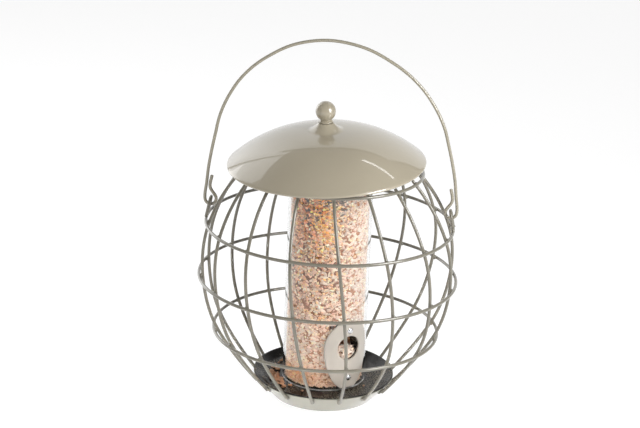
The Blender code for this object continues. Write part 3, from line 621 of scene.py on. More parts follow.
def make_handle():
    """Tail, hook and half of the bail, then its mirror image, and a curve through them all. The
    bow moves both halves to the left with the square of the height. Three passes then move each
    inner point to the middle of itself and its two neighbours' middle."""
    out, height = eye_line(EYE_REACH)
    hinge, hook = height - WIRE - HOOK_PLAY, out + HOOK_OUT
    tail, rise = hook - HOOK_RADIUS + TAIL_OUT, HOOK_RADIUS + TAIL_RISE
    bend = arc(hook, HOOK_RADIUS, HOOK_RADIUS, pi, 2 * pi, 13)
    line = np.concatenate([[(tail - TIP_IN, rise + TIP_RISE), (tail, rise)], bend,
                           BAIL_SHARES * (hook + HOOK_RADIUS, HANDLE_RISE)])
    line = curve_through(np.concatenate([line, line[-2::-1] * (-1, 1)]))
    bow = HANDLE_BOW * (line[:, 1] / HANDLE_RISE) ** 2
    path = evenly(np.stack([line[:, 0] - bow, 0 * bow, hinge + line[:, 1]], -1))
    for _ in range(3):
        path[1:-1] = path[1:-1] / 2 + (path[:-2] + path[2:]) / 4
    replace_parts(wire("bail_wire", path, (0, 1, 0), "handle", HANDLE_PAINT_SHADED, sides=16), "handle")


# Turned shells

def make_dish():
    foot_inner = DISH_FOOT_RADIUS - DISH_FOOT_WIDTH
    panel, top = foot_inner - DISH_STEP, DISH_PANEL_RISE + DISH_WALL
    inside = DISH_FOOT_RADIUS - DISH_ACROSS + DISH_LEAN * DISH_WALL
    outline = [(DISH_RIM_RADIUS, DISH_HEIGHT), (DISH_FOOT_RADIUS, 0), (foot_inner, 0),
               (panel, DISH_PANEL_RISE), (BOLT_HOLE, DISH_PANEL_RISE), (BOLT_HOLE, top),
               (panel + DISH_WALL, top), (foot_inner + DISH_WALL, DISH_WALL),
               (inside, DISH_WALL), (DISH_RIM_RADIUS - DISH_ACROSS, DISH_HEIGHT)]
    outline = eased(outline, reach=0.0006)
    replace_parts(lathe("dish_shell", outline, "cage", DISH_PAINT), "base_dish")


def make_tray():
    hub, under_lip = DISH_PANEL_RISE + DISH_WALL + FIT, TRAY_RIM - TRAY_LIP
    outline = [(TRAY_RIM_RADIUS, TRAY_RIM), (TRAY_RIM_RADIUS, under_lip),
               (DISH_RIM_RADIUS - DISH_ACROSS - FIT, under_lip), (TRAY_FLOOR_RADIUS, TRAY_BASE),
               (HUB_RADIUS, TRAY_BASE), (HUB_RADIUS, hub), (BOLT_HOLE, hub),
               (BOLT_HOLE, SPIGOT_TOP), (FILL_RADIUS, SPIGOT_TOP), (FILL_RADIUS, TRAY_FLOOR),
               (TRAY_FLOOR_RADIUS, TRAY_FLOOR), (TRAY_RIM_RADIUS - TRAY_WALL, TRAY_RIM)]
    outline = eased(outline, reach=0.0005)
    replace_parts(lathe("tray_shell", outline, "cage", BLACK), "seed_tray")


def dome_height(radius):
    """Outside of the lid above its rim: rise * (1 - (r / R)^n)."""
    return LID_RISE * (1 - (radius / LID_RADIUS) ** LID_POWER)


def dome_underside(radius):
    slope = LID_RISE * LID_POWER * (radius / LID_RADIUS) ** (LID_POWER - 1) / LID_RADIUS
    return dome_height(radius) - LID_WALL * np.sqrt(1 + slope * slope)


def make_lid():
    """The dome with its rolled rim and its underside, and the hollow sweep to the knob, whose
    height is the dome's where it starts plus rise * share^2. Gives the sweep's top."""
    share = np.linspace(0, 1, 22)
    radius = LID_FLARE_RADIUS + share * (LID_NECK_RADIUS - LID_FLARE_RADIUS)
    flare = np.stack([radius, dome_height(LID_FLARE_RADIUS) + LID_FLARE_RISE * share ** 2], -1)
    under = flare - (0, LID_WALL)
    radii = np.linspace(LID_FLARE_RADIUS, LID_RADIUS - LID_BEAD / 2, 56)[1:]
    dome = np.stack([radii, dome_height(radii)], -1)
    bead = arc(LID_RADIUS - LID_BEAD, dome[-1, 1] - LID_BEAD, LID_BEAD, 0.35, -pi, 16)
    inner = np.stack([radii[:-2], dome_underside(radii[:-2])], -1)[::-1]
    hole, top = STUD_RADIUS + FIT, flare[-1, 1]
    outline = np.concatenate([[(hole, top)], flare[::-1], dome, bead, inner, under,
                              [(hole, under[-1, 1])]])
    piece = lathe("lid_shell", outline, "lid", PAINT, steps=192, place=LID_PLACE)
    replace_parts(piece, "lid")
    return top


def make_knob(top):
    """Ball on a short neck with a small ring round its foot, and the stud below it."""
    base = top + FIT
    foot = asin(KNOB_NECK_RADIUS / KNOB_RADIUS)
    middle = base + KNOB_NECK_RISE + KNOB_RADIUS * cos(foot)
    ball = arc(0, middle, KNOB_RADIUS, pi / 2, foot - pi / 2, 48)
    bead = KNOB_NECK_RISE * 0.26
    ring = arc(LID_NECK_RADIUS - bead * 1.6, base + bead, bead, pi * 0.42, -pi / 2, 12)
    stud = [(STUD_RADIUS, base), (STUD_RADIUS, base - STUD_LENGTH), (0, base - STUD_LENGTH)]
    piece = lathe("knob_ball", np.concatenate([ball, ring, stud]), "lid", PAINT,
                  closed=False, steps=96, place=LID_PLACE)
    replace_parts(piece, "lid_knob")


# Clear tube and the ports

def bored_sheet(radius, heights, columns=180):
    """A cylinder wall as a grid of turns and heights. Round each port a square of the grid is
    left out, and a patch fills it: each point of the square's edge is joined to the point of
    the hole that lies in the same direction, place = hole + t * (edge - hole)."""
    grid = np.stack(np.meshgrid(heights, full_turn(columns), indexing="ij"), -1)
    flat = [grid[..., ::-1].reshape(-1, 2)]
    faces = quad_table(len(heights), columns)
    count, rims = len(flat[0]), []
    reach = int(np.ceil(PORT_PATCH / radius / (2 * pi) * columns)) + 1
    low = np.searchsorted(heights, PORT_Z - PORT_PATCH) - 1
    high = np.searchsorted(heights, PORT_Z + PORT_PATCH)
    for azimuth in PORT_AZIMUTHS.values():
        centre = int(round(azimuth / (2 * pi) * columns))
        row = faces[:, 0] // columns
        offset = (faces[:, 0] % columns - (centre - reach)) % columns
        faces = faces[(row < low) | (row >= high) | (offset >= 2 * reach)]
        across, up = np.arange(centre - reach, centre + reach), np.arange(low, high)
        loop = np.concatenate([np.stack([0 * across + low, across], -1),
                               np.stack([up, 0 * up + centre + reach], -1),
                               np.stack([0 * across + high, across[::-1] + 1], -1),
                               np.stack([up[::-1] + 1, 0 * up + centre - reach], -1)])
        edge = np.stack([loop[:, 1] * 2 * pi / columns, heights[loop[:, 0]]], -1)
        bearing = np.arctan2(edge[:, 1] - PORT_Z, (edge[:, 0] - azimuth) * radius)
        hole = np.stack([azimuth + np.arcsin(PORT_RADIUS * np.cos(bearing) / radius),
                         PORT_Z + PORT_RADIUS * np.sin(bearing)], -1)
        t = np.linspace(0, 1, 5)[:, None, None]
        flat.append((hole + t * (edge - hole)).reshape(-1, 2))
        faces = np.concatenate([faces, quad_table(5, len(loop)) + count])
        rims.append(count + np.arange(len(loop)))
        count += len(flat[-1])
    turn, height = np.concatenate(flat).T
    ends = [np.arange(columns), np.arange(columns) + (len(heights) - 1) * columns]
    return on_circle(radius, turn, height), faces, rims + ends


def tube_top():
    """The tube ends one and a half fits below the lowest part of the lid's underside over its
    rim. Each pass moves each of the rim's heights by the gap that is left above it."""
    spots = on_circle(TUBE_RADIUS, np.linspace(0, 2 * pi, 41), LID_BASE)
    for _ in range(5):
        local = moved(spots, LID_PLACE.inverted())
        spots[:, 2] += dome_underside(np.hypot(local[:, 0], local[:, 1])) - local[:, 2]
    return spots[:, 2].min() - FIT * 1.5


def make_tube():
    """Outer and inner sheets, joined round the ports and at both ends. Their rows lie closer
    round the ports."""
    heights = np.concatenate([np.linspace(TUBE_BASE, CLOSE_ROWS_END, 26),
                              np.linspace(WIDE_ROWS_START, tube_top(), 22)])
    outer, outer_faces, outer_rims = bored_sheet(TUBE_RADIUS, heights)
    inner, inner_faces, inner_rims = bored_sheet(BORE_RADIUS, heights)
    faces = [outer_faces, inner_faces[:, ::-1] + len(outer)]
    for a, b in zip(outer_rims, inner_rims):
        b = b + len(outer)
        faces.append(np.stack([a, np.roll(a, -1), np.roll(b, -1), b], -1))
    piece = piece_from("tube_wall", np.concatenate([outer, inner]), np.concatenate(faces), "cage",
                       CLEAR, sharp=40.0)
    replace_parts(piece, "seed_tube")


def port_frame(azimuth):
    """Matrix that carries the port's own axes, out, across and up, to its place."""
    return Matrix.Rotation(azimuth - pi / 2, 4, "Z")


def plate_edge(bearing):
    """Reach of the plate from the hole's centre: two half ellipses, cut flat above and below."""
    upper = np.sin(bearing) > 0
    half_height = np.where(upper, PLATE_UPPER, PLATE_LOWER)
    reach = 1 / np.sqrt((np.cos(bearing) / PLATE_HALF_WIDTH) ** 2 + (np.sin(bearing) / half_height) ** 2)
    flat = np.where(upper, PLATE_TOP, PLATE_BOTTOM) / (np.abs(np.sin(bearing)) + 1e-9)
    return np.minimum(reach, flat)


def make_plates():
    """A closed section, inner face, hole edge, outer face and outer edge, carried round the hole.
    A point at bearing b and reach q has across = q cos b and up = q sin b, and lies on the
    cylinder of its radius: (sqrt(radius^2 - across^2), across, up)."""
    corners = [atan2(PLATE_TOP, PLATE_HALF_WIDTH * sqrt(1 - (PLATE_TOP / PLATE_UPPER) ** 2)),
               -atan2(PLATE_BOTTOM, PLATE_HALF_WIDTH * sqrt(1 - (PLATE_BOTTOM / PLATE_LOWER) ** 2))]
    corners = np.array(corners + [pi - corner for corner in corners])
    bearing = np.concatenate([full_turn(168) - pi, np.mod(corners + pi, 2 * pi) - pi])
    bearing = np.sort(bearing)[:, None]
    edge = plate_edge(bearing)
    hole = np.full_like(edge, PORT_RADIUS)
    span = np.linspace(0, 1, 9)
    face = hole + PLATE_ROUND + span * (edge - hole - 2 * PLATE_ROUND)
    back = hole + span[-2:0:-1] * (edge - hole)
    reach = np.concatenate([hole, hole, face, edge, edge, back], 1)
    outer = PLATE_INNER + PLATE_WALL
    rolled = outer - PLATE_ROUND
    lift = np.array([PLATE_INNER, rolled] + [outer] * 9 + [rolled] + [PLATE_INNER] * 8)
    across, up = reach * np.cos(bearing), PORT_Z + reach * np.sin(bearing)
    points = np.stack([np.sqrt(lift ** 2 - across ** 2), across, up], -1)
    faces = quad_table(len(bearing), reach.shape[1], True)
    for side, azimuth in PORT_AZIMUTHS.items():
        piece = piece_from("plate_" + side, moved(points, port_frame(azimuth)), faces, "cage",
                           PLATE_PAINT_LIT, sharp=30.0)
        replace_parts(piece, "port_%s_plate" % side)
        make_rivets(side, azimuth)


def make_rivets(side, azimuth):
    """Low domed heads with a rolled edge, turned about their own axis and laid outwards. The
    upper rivet is blind, and the lower one is clenched inside the tube."""
    wide, high = RIVET_HEAD_RADIUS, RIVET_HEAD_HEIGHT
    turn = np.linspace(0, pi / 2, 10)
    dome = np.stack([wide * 0.94 * np.sin(turn), high * (0.2 + 0.8 * np.cos(turn))], -1)
    edge = [(wide, high * 0.12), (wide * 0.98, 0.0), (RIVET_RADIUS, 0.0)]
    head = PLATE_INNER + PLATE_WALL + FIT
    deep, blind = BORE_RADIUS - FIT - head, BORE_RADIUS - head - RIVET_BLIND
    ends = {"upper": [(RIVET_RADIUS, blind), (0, blind)],
            "lower": [(RIVET_RADIUS, deep), (wide * 0.97, deep), (wide * 0.8, deep - high * 0.7),
                      (0, deep - high)]}
    for level, rise in (("upper", RIVET_UPPER), ("lower", -RIVET_LOWER)):
        lay = Matrix.Translation((head, 0, PORT_Z + rise)) @ Matrix.Rotation(pi / 2, 4, "Y")
        piece = lathe("rivet_%s_%s" % (side, level), np.concatenate([dome, edge, ends[level]]), "cage",
                      STEEL, False, 28, port_frame(azimuth) @ lay, 40.0)
        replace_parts(piece, "port_%s_rivet_%s" % (side, level))


# Seed

# Each kind: length, width, thickness, points along and round, taper and crease of a seed; its
# share of the mix; sheen, roughness, painted shade in the crease and mottle of its material;
# its four colours
KINDS = {
    "sunflower_hearts": (
        (0.0064, 0.0031, 0.0021, 6, 7, 0.28, 0.0), 0.22, (0.10, 0.45, 0.0, 0.25),
        ((0.96, 0.72, 0.55), (0.93, 0.60, 0.45), (0.98, 0.84, 0.68), (0.80, 0.50, 0.38))),
    "wheat": (
        (0.0052, 0.0024, 0.0021, 6, 7, 0.05, 0.16), 0.26, (0.12, 0.42, 0.85, 0.4),
        ((0.90, 0.46, 0.27), (0.95, 0.56, 0.36), (0.74, 0.34, 0.17), (0.96, 0.70, 0.50))),
    "cut_maize": (
        (0.0041, 0.0031, 0.0024, 5, 6, 0.18, 0.0), 0.10, (0.15, 0.35, 0.0, 0.4),
        ((0.94, 0.50, 0.10), (0.97, 0.64, 0.19), (0.98, 0.80, 0.42), (0.88, 0.38, 0.07))),
    "red_dari": (
        (0.0033, 0.0029, 0.0026, 5, 6, 0.05, 0.0), 0.13, (0.25, 0.32, 0.0, 0.4),
        ((0.52, 0.18, 0.09), (0.76, 0.38, 0.22), (0.90, 0.58, 0.40), (0.97, 0.76, 0.58))),
    "millet": (
        (0.0026, 0.0023, 0.0022, 5, 6, 0.05, 0.0), 0.15, (0.3, 0.28, 0.0, 0.3),
        ((0.96, 0.66, 0.28), (0.98, 0.82, 0.54), (0.93, 0.54, 0.22), (0.99, 0.92, 0.76))),
    "oats": (
        (0.0059, 0.0020, 0.0017, 6, 6, 0.10, 0.12), 0.10, (0.05, 0.55, 0.4, 0.3),
        ((0.98, 0.82, 0.62), (0.95, 0.68, 0.48), (0.99, 0.92, 0.78), (0.86, 0.56, 0.38))),
    "dark_seed_and_lid_shade": (
        (0.0050, 0.0026, 0.0021, 6, 7, 0.22, 0.0), 0.018, (0.2, 0.35, 0.0, 0.2),
        ((0.020, 0.012, 0.010), (0.07, 0.035, 0.022), (0.16, 0.08, 0.04), (0.30, 0.15, 0.07))),
}
# Patches where a kind lies thicker: azimuth, height, spread in each and the share of its seeds
PATCHES = {"cut_maize": ((-0.06, 0.180, 0.20, 0.014, 0.30), (-0.75, 0.030, 0.30, 0.009, 0.10)),
           "wheat": ((-0.45, 0.172, 0.40, 0.022, 0.07),),
           "red_dari": ((-0.55, 0.027, 0.45, 0.008, 0.12), (-0.40, 0.186, 0.40, 0.014, 0.12)),
           # Dark seed gathered at the top, under the lid, is painted shade
           "dark_seed_and_lid_shade": ((0.14, 0.1970, 0.28, 0.0042, 0.70), (-0.45, 0.186, 0.16, 0.006, 0.35))}
# Numbers of seeds for a kind with the whole mix as its share: against the wall, on top, in each
# port, on the tray before the ports and on the tray at the left
AT_WALL, ON_TOP, IN_PORT, BEFORE_PORTS, ON_TRAY = 12200, 900, 90, 7, 110
BEFORE_PORTS_RING = (TRAY_FLOOR_RADIUS - 0.0130, TRAY_FLOOR_RADIUS - 0.0040)
TRAY_RING, SPILL_AZIMUTH = (TUBE_RADIUS + 0.0034, TRAY_FLOOR_RADIUS - 0.0050), -1.25
GOLDEN_SHARE, WALL_DEPTH = 0.6180339887, 0.0013
# Millet is small, so against the wall it has more than its share
MILLET_MORE = 1.6
# The heap in each port: how far it stays from the hood's back and from the bore, its half width,
# its slope and its loose depth
HEAP_BACK, HEAP_FRONT, HEAP_HALF_WIDTH, HEAP_SLOPE, HEAP_LOOSE = 0.003, 0.0035, 0.0105, 0.30, 0.0008
# The bed of seed: how far it stays from the spigot, the seed's top and the bore, the radius of
# its foot and the depth of its ripple; then its bay behind a port, as a half turn and a reach
# below, above and behind the port
BED_LOW, BED_HIGH, BED_BACK, BED_FOOT, BED_RIPPLE = 0.0004, 0.0016, 0.0014, 0.030, 0.0003
BAY_TURN, BAY_BELOW, BAY_ABOVE, BAY_BEHIND = 0.50, 0.0090, 0.0240, 0.0030
SEED_MATERIALS = {kind: seed_material("seed_" + kind, *KINDS[kind][2]) for kind in KINDS}


def grain(length, width, thick, rows, columns, taper, crease):
    """A seed's unit shape: the ring at place s along it has the radius
    (1 - s^2)^(1/2) * (1 - taper * s), and a crease draws in its belly. Gives the points, as
    half sizes in metres, the faces and each point's place across the belly."""
    s = -np.cos(np.linspace(0, pi, rows))[:, None]
    turn = full_turn(columns)
    belly = np.clip(np.cos(turn), 0, 1) ** 6
    reach = np.sqrt(np.clip(1 - s * s, 0, 1)) * (1 - taper * s) * (1 - crease * belly)
    points = np.stack([s + 0 * turn, reach * np.sin(turn), reach * np.cos(turn)], -1)
    points = points.reshape(-1, 3) * (length / 2, width / 2, thick / 2)
    return points, quad_table(rows, columns), np.tile(belly, rows)


def bell(values, middle, spread):
    return np.exp(-((values - middle) / spread) ** 2)


def tinted_lit_and_shaded_by_place(tint, centres):
    """Painted shade: browner and deeper seed at the left near the top, under the lid; browner
    seed also in the foot at the left. Painted light: paler seed at the right and low down, and an
    amber glow in the foot. Each share falls off as a bell of the azimuth or the height, or both.
    Spilled seed is darker and browner."""
    azimuth = np.arctan2(centres[:, 0], -centres[:, 1])
    height = centres[:, 2]
    russet = bell(azimuth, -0.70, 0.50) * bell(height, 0.026, 0.011)
    # Painted shade under the lid at the top left, and browner seed in the foot at the left
    painted_top_shade_and_foot_brown = bell(azimuth, -0.55, 0.60) * bell(height, 0.186, 0.034) + 0.9 * russet
    # Painted light at the right and low down, and a painted amber glow in the foot
    painted_light = 0.48 * bell(azimuth, 1.0, 0.60)
    painted_light_low = 0.50 * bell(height, 0.030, 0.065) * (1 - 0.8 * russet)
    painted_glow_foot = 0.45 * bell(height, 0.024, 0.016)
    tint = tint ** (1 + 0.85 * painted_top_shade_and_foot_brown[:, None])
    for colour, share in (((0.98, 0.92, 0.86), painted_light), ((1.0, 0.84, 0.72), painted_light_low),
                          ((1.0, 0.60, 0.38), painted_glow_foot)):
        tint = tint + (np.array(colour) - tint) * share[:, None]
    spilled = np.hypot(centres[:, 0], centres[:, 1]) > TUBE_RADIUS
    return np.where(spilled[:, None], tint * (0.46, 0.36, 0.28), tint)


def axes_from(along, near):
    """Right-handed axes whose first is along and whose third is as near to near as it can be."""
    along = unit(along)
    third = square_to(along, near)
    return np.stack([along, np.cross(third, along), third], -1)


def lying(count, lay):
    """Axes of seeds that lie flat, turned at random and tipped by about lay."""
    along = beside(RANDOM.uniform(0, 2 * pi, count), RANDOM.normal(0, lay, count))
    return axes_from(along, UP + RANDOM.normal(0, lay, (count, 3)))


def wall_seeds(half, count, patches):
    """Seeds against the tube's wall: each lies nearly in the wall's plane, most with their long
    axis within 40 degrees of level, and its centre is the seed's own reach in from the wall,
    plus a random part of the depth."""
    low, high = SPIGOT_TOP + 0.0008, SEED_LEVEL - 0.0012
    places = (np.arange(count) + RANDOM.uniform(0, 1, count)) / count
    azimuth = 2 * pi * np.mod(np.arange(count) * GOLDEN_SHARE + RANDOM.uniform(0, 0.4, count), 1)
    height = low + places * (SEED_LEVEL - SPIGOT_TOP - 0.0022)
    for middle, level, around, spread, share in patches:
        chosen = RANDOM.uniform(0, 1, count) < share
        azimuth = np.where(chosen, middle + RANDOM.normal(0, around, count), azimuth)
        height = np.where(chosen, level + RANDOM.normal(0, spread, count), height)
    out = on_circle(1.0, azimuth, 0.0)
    swing = RANDOM.normal(0, 0.72, count)[:, None]
    dip = RANDOM.normal(0, 0.30, count)[:, None]
    along = np.cos(swing) * beside(azimuth) + np.sin(swing) * UP + np.sin(dip) * out
    frames = axes_from(along, out + RANDOM.normal(0, 0.45, (count, 3)))
    reach = np.sqrt((np.einsum("nij,ni->nj", frames, out) ** 2 * half ** 2).sum(1))
    radius = FILL_RADIUS - reach - RANDOM.uniform(0, 1, count) ** 2 * WALL_DEPTH
    return on_circle(radius, azimuth, np.clip(height, low, high)), frames


def level_seeds(half, count, height_at, ring, lay, near=()):
    """Seeds lying on a level or heaped surface, flat side down: scattered evenly over a ring, or
    gathered round the azimuths near."""
    radius = np.sqrt(RANDOM.uniform(ring[0] ** 2, ring[1] ** 2, count))
    if near:
        azimuth = RANDOM.choice(near, count) + RANDOM.normal(0, 0.35, count)
    else:
        azimuth = RANDOM.uniform(0, 2 * pi, count)
    frames = lying(count, lay)
    reach = np.sqrt((frames[:, 2] ** 2 * half ** 2).sum(1))
    return on_circle(radius, azimuth, height_at(radius) + reach), frames


def clear_of_ports(centres, margin=0.0012):
    """False for a seed that would stand in the space under a port's hood or in its hole."""
    keep = np.ones(len(centres), bool)
    x, y, z = centres.T
    for azimuth in PORT_AZIMUTHS.values():
        out = x * sin(azimuth) - y * cos(azimuth)
        across = x * cos(azimuth) + y * sin(azimuth)
        keep &= ~((out > BORE_RADIUS - HOOD_DEPTH - margin)
                  & (np.abs(across) < PORT_RADIUS + HOOD_SIDE + margin)
                  & (z > PORT_Z - HOOD_FLOOR) & (z < PORT_Z + HOOD_TOP + margin))
    return keep


def joined(sets):
    """Sets of centres and axes as one."""
    return [np.concatenate(part) for part in zip(*sets)]


def port_seeds(count):
    """Seeds in the hole of each port: a small slope from the back of the hood to the hole."""
    sets = []
    for azimuth in PORT_AZIMUTHS.values():
        out = RANDOM.uniform(BORE_RADIUS - HOOD_DEPTH + HEAP_BACK, BORE_RADIUS - HEAP_FRONT, count)
        across = RANDOM.uniform(-HEAP_HALF_WIDTH, HEAP_HALF_WIDTH, count)
        height = PORT_Z - HOOD_FLOOR + (BORE_RADIUS - out) * HEAP_SLOPE
        height = height + RANDOM.uniform(0, HEAP_LOOSE, count)
        centres = np.stack([out * sin(azimuth) + across * cos(azimuth),
                            -out * cos(azimuth) + across * sin(azimuth), height], -1)
        sets.append((centres, lying(count, 0.3)))
    return joined(sets)


def seed_piece(kind, centres, frames):
    """One mesh of many seeds: seed n's point is its centre plus its own axes times the unit
    shape times its size. Each seed carries its colour, with painted light and shade by place,
    and its places to the material."""
    shape, tints = KINDS[kind][0], np.array(KINDS[kind][3])
    points, faces, belly = grain(*shape)
    count, every = len(centres), len(points)
    size = RANDOM.uniform(0.84, 1.0, (count, 1, 1))
    stretch = RANDOM.uniform(0.90, 1.0, (count, 1, 3))
    lumps = 1 + 0.10 * np.sin(points * 900 + RANDOM.uniform(0, 6, (count, 1, 3)))[..., [1, 2, 0]]
    local = points * size * stretch * lumps
    placed = centres[:, None] + np.einsum("nij,nvj->nvi", frames, local)
    pick = RANDOM.integers(0, len(tints), (count, 2))
    blend = RANDOM.uniform(0, 1, (count, 1))
    tint = tints[pick[:, 0]] * blend + tints[pick[:, 1]] * (1 - blend)
    tint = np.clip(tinted_lit_and_shaded_by_place(tint * RANDOM.uniform(0.62, 1.24, (count, 1)), centres), 0, 1)
    spots = points / (np.array(shape[:3]) / 2) + RANDOM.uniform(-40, 40, (count, 1, 3))
    faces = (faces + (np.arange(count) * every)[:, None, None]).reshape(-1, 4)
    piece = piece_from("seed_" + kind, placed, faces, "cage", SEED_MATERIALS[kind], 70.0,
                       weld=False)
    colour = np.repeat(np.concatenate([tint, np.ones((count, 1))], 1), every, 0)
    for label, data_type, field, values in (("seed_tint", "FLOAT_COLOR", "color", colour),
                                            ("seed_place", "FLOAT_VECTOR", "vector", spots),
                                            ("seed_belly", "FLOAT", "value", np.tile(belly, count))):
        attribute = piece.data.attributes.new(label, data_type, "POINT")
        attribute.data.foreach_set(field, values.ravel())


def bed_height(radius):
    """Top of the seed in the tube: highest in the middle."""
    return SEED_LEVEL - 0.0030 + SEED_CROWN * (1 - (radius / FILL_RADIUS) ** 2)


def tray_height(radius):
    """Floor of the tray, and its wall where that starts to rise."""
    slope = (TRAY_RIM - TRAY_FLOOR) / (TRAY_RIM_RADIUS - TRAY_WALL - TRAY_FLOOR_RADIUS)
    return TRAY_FLOOR + 0.0002 + np.clip(radius - TRAY_FLOOR_RADIUS, 0, None) * slope


def make_seed():
    """The seed in the tube, on the tray and in the ports, one piece for each kind."""
    for kind, (shape, share, *_) in KINDS.items():
        half = np.array(shape[:3]) / 2
        more = MILLET_MORE if kind == "millet" else 1.0
        centres, frames = joined([
            wall_seeds(half, int(AT_WALL * share * more), PATCHES.get(kind, ())),
            level_seeds(half, int(ON_TOP * share), bed_height, (0.0, FILL_RADIUS - 0.0035), 0.3)])
        keep = clear_of_ports(centres)
        centres, frames = joined([
            (centres[keep], frames[keep]), port_seeds(int(IN_PORT * share) + 1),
            level_seeds(half, int(BEFORE_PORTS * share), tray_height, BEFORE_PORTS_RING, 0.12,
                        list(PORT_AZIMUTHS.values())),
            level_seeds(half, int(ON_TRAY * share), tray_height, TRAY_RING, 0.30, [SPILL_AZIMUTH])])
        seed_piece(kind, centres, frames)


def make_seed_bed():
    """The seed behind the outer grains, which stand out of it by about half their thickness. It
    has a bay behind each port. Elsewhere its wall at turn a and height z has the radius
    middle + ripple * sin(17 a + 90 sin(210 z)) * sin(1500 z)."""
    columns = 160
    heights = np.linspace(SPIGOT_TOP + BED_LOW, SEED_LEVEL - BED_HIGH, 110)
    z, a = np.meshgrid(heights, full_turn(columns), indexing="ij")
    ripple = BED_RIPPLE * np.sin(17 * a + 90 * np.sin(z * 210)) * np.sin(z * 1500)
    radius = FILL_RADIUS - BED_BACK + ripple
    for azimuth in PORT_AZIMUTHS.values():
        away = np.abs(np.mod(a - azimuth + pi, 2 * pi) - pi)
        bay = (away < BAY_TURN) & (z > PORT_Z - BAY_BELOW) & (z < PORT_Z + BAY_ABOVE)
        radius[bay] = BORE_RADIUS - HOOD_DEPTH - BAY_BEHIND
    radius[0] = BED_FOOT
    low, high = (np.zeros((1, columns, 3)) + UP * level
                 for level in (heights[0], heights[-1] + SEED_CROWN / 2))
    points = np.concatenate([low, on_circle(radius, a, z), high])
    piece = piece_from("seed_core", points, quad_table(len(points), columns), "cage",
                       BED, sharp=60.0)
    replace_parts(piece, "seed_fill")


def dress_nodes():
    """CAD nodes whose shape is right keep it and get their finish."""
    finishes = {"seed_cone": BLACK, "port_front_hood": BLACK, "port_rear_hood": BLACK,
                "centre_bolt": STEEL, "centre_nut": STEEL, "lid_collar": PAINT,
                "knob_washer": STEEL, "knob_nut": STEEL}
    for name, material in finishes.items():
        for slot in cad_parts[name].material_slots:
            slot.material = material


# Floor, light and camera

WORLD_LIGHT, WORLD_GLOSS = 0.17, 0.24
GLOW_FADE, PLAIN_WHITE = (-2.4, -0.7), 0.88
# Outlines of the backdrop and the dark frame round it in (x, z), and how far back they stand;
# then the corners of the wall at the left and of the floor
BACKDROP_Y, FRAME_Y = 3.0, 3.01
BACKDROP = [(-2.20, 0.001), (2.0, 0.001), (2.0, 3.70), (-1.0, 3.70), (-1.75, 3.50), (-2.20, 2.85)]
DARK_FRAME = [(-2.44, 0.001), (2.22, 0.001), (2.22, 4.04), (-1.10, 4.04), (-1.92, 3.76), (-2.44, 2.95)]
SIDE_WALL = [(-1.75, 3.30, 0.001), (-3.14, 1.31, 0.001), (-3.14, 1.31, 3.60), (-1.75, 3.30, 4.15)]
FLOOR = [(-9, -9, 0), (9, -9, 0), (9, 9, 0), (-9, 9, 0)]
# Each light: azimuth, elevation and distance from its target, width, height, power, height of
# the target, turn about its aim, whether gloss shows it, spread of its rays; angles in degrees
LIGHTS = {
    "key_softbox": (58, 28, 0.66, 0.24, 0.36, 4.6, 0.14, 0.0, True, 180.0),
    "front_softbox": (-30, 10, 1.10, 0.60, 0.40, 5.0, 0.10, 0.0, False, 180.0),
    "low_softbox": (-20, 5, 1.0, 0.30, 0.08, 0.068, 0.0, 0.0, True, 15.0),
    "left_softbox": (-108, 40, 0.90, 0.40, 0.40, 1.7, 0.14, 0.0, False, 180.0),
    "back_softbox": (-150, 42, 1.30, 0.60, 0.40, 3.6, 0.14, 0.0, False, 180.0),
    "rim_softbox": (-127, 10, 1.6, 0.50, 0.90, 1.9, 0.14, 0.0, True, 180.0),
    "strip_light": (134, 57.5, 1.9, 0.66, 0.06, 0.8, 0.14, 33.0, True, 180.0),
}


def bare_material(name):
    """A material whose output is still free."""
    made, tree, shader = new_material(name)
    tree.nodes.remove(shader)
    return made, tree


def studio_white(name, glow, albedo, rise=0.0):
    """A white surface. Rays from the camera, off gloss and through glass see it glow, with the
    object's shadow on it, and by rise more toward the left; other rays see a plain white surface
    that bounces light."""
    made, tree = bare_material(name)
    cloth, plain = (add_node(tree, "BsdfDiffuse", {"Color": (level, level, level)})[0]
                    for level in (albedo, PLAIN_WHITE))
    right = ramp(tree, object_axis(tree, "X"), *GLOW_FADE)
    strength = scaled(tree, right, -rise, glow + rise)
    glowing = add_node(tree, "Emission", {"Strength": strength})[0]
    both = add_node(tree, "AddShader", {0: cloth, 1: glowing})[0]
    seen = light_path(tree, "Is Camera Ray", "Is Glossy Ray", "Is Transmission Ray")
    mix_surfaces(tree, seen, plain, both)
    return made


def studio_dark():
    """Black, but white to the camera and through glass, so that only gloss shows it."""
    made, tree = bare_material("studio_frame")
    seen = light_path(tree, "Is Camera Ray", "Is Transmission Ray")
    glowing = add_node(tree, "Emission", {"Strength": seen})[0]
    feed(tree, tree.nodes["Material Output"], {"Surface": glowing})
    return made


def stage_sheet(name, corners, material):
    mesh = bpy.data.meshes.new(name)
    mesh.from_pydata(corners, [], [tuple(range(len(corners)))])
    mesh.materials.append(material)
    add_object(name, mesh)


def make_studio():
    """A white floor, a white backdrop with a dark frame behind the object, and a white wall on
    the left beyond the frame. The lid and the ball reflect them."""
    stage_sheet("studio_floor", FLOOR, studio_white("studio_floor", 0.88, 0.25))
    white = studio_white("studio_backdrop", 1.0, 0.0, 0.9)
    stage_sheet("studio_backdrop", [(x, BACKDROP_Y, z) for x, z in BACKDROP], white)
    stage_sheet("studio_frame", [(x, FRAME_Y, z) for x, z in DARK_FRAME], studio_dark())
    stage_sheet("studio_wall", SIDE_WALL, white)


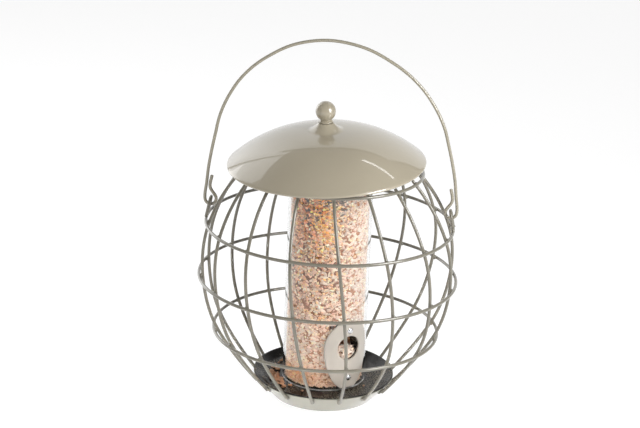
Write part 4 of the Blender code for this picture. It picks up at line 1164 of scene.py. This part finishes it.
def make_world():
    """White to the camera and through glass, a plain dimmer white to every other ray."""
    world = bpy.data.worlds.new("studio")
    bpy.context.scene.world = world
    world.use_nodes = True
    tree = world.node_tree
    seen = light_path(tree, "Is Camera Ray", "Is Transmission Ray")
    glossy = light_path(tree, "Is Glossy Ray")
    level = scaled(tree, glossy, WORLD_GLOSS - WORLD_LIGHT, WORLD_LIGHT)
    strength = math(tree, "MAXIMUM", seen, level)
    feed(tree, tree.nodes["Background"], {"Color": (1, 1, 1), "Strength": strength})


def direction(azimuth, elevation):
    azimuth, elevation = radians(azimuth), radians(elevation)
    return Vector((sin(azimuth) * cos(elevation), -cos(azimuth) * cos(elevation), sin(elevation)))


def softbox(name, azimuth, elevation, distance, width, height, power, level, tilt, shiny, spread):
    lamp = bpy.data.lights.new(name, "AREA")
    lamp.spread = radians(spread)
    lamp.shape = "RECTANGLE"
    lamp.size, lamp.size_y = width, height
    lamp.energy = power
    box = add_object(name, lamp)
    target = Vector((0, 0, level))
    box.location = place = target + distance * direction(azimuth, elevation)
    aim = (target - place).to_track_quat("-Z", "Y").to_euler().to_matrix()
    box.rotation_euler = (aim @ Matrix.Rotation(radians(tilt), 3, "Z")).to_euler()
    box.visible_glossy = shiny


def make_camera():
    """The camera stands at the photograph's angle, rolled a little, 1.8 m away."""
    azimuth, elevation, roll = 3.4, 18.94, radians(2.33)
    distance, target = 1.811, Vector((-0.00914, -0.00054, 0.1748))
    back = direction(azimuth, elevation)
    right = Vector((cos(radians(azimuth)), sin(radians(azimuth)), 0))
    up = back.cross(right)
    right, up = right * cos(roll) + up * sin(roll), up * cos(roll) - right * sin(roll)
    data = bpy.data.cameras.new("camera")
    data.sensor_width = 36.0
    data.lens = 111.5
    camera = add_object("camera", data)
    turn = Matrix((right, up, back)).transposed().to_4x4()
    camera.matrix_world = Matrix.Translation(target + back * distance) @ turn
    bpy.context.scene.camera = camera


make_cage()
make_welds()
make_eyes()
make_handle()
make_dish()
make_tray()
make_knob(make_lid())
make_tube()
make_plates()
make_seed_bed()
make_seed()
dress_nodes()
make_studio()
make_world()
for light, settings in LIGHTS.items():
    softbox(light, *settings)
make_camera()
bpy.context.scene.view_settings.view_transform = "Standard"
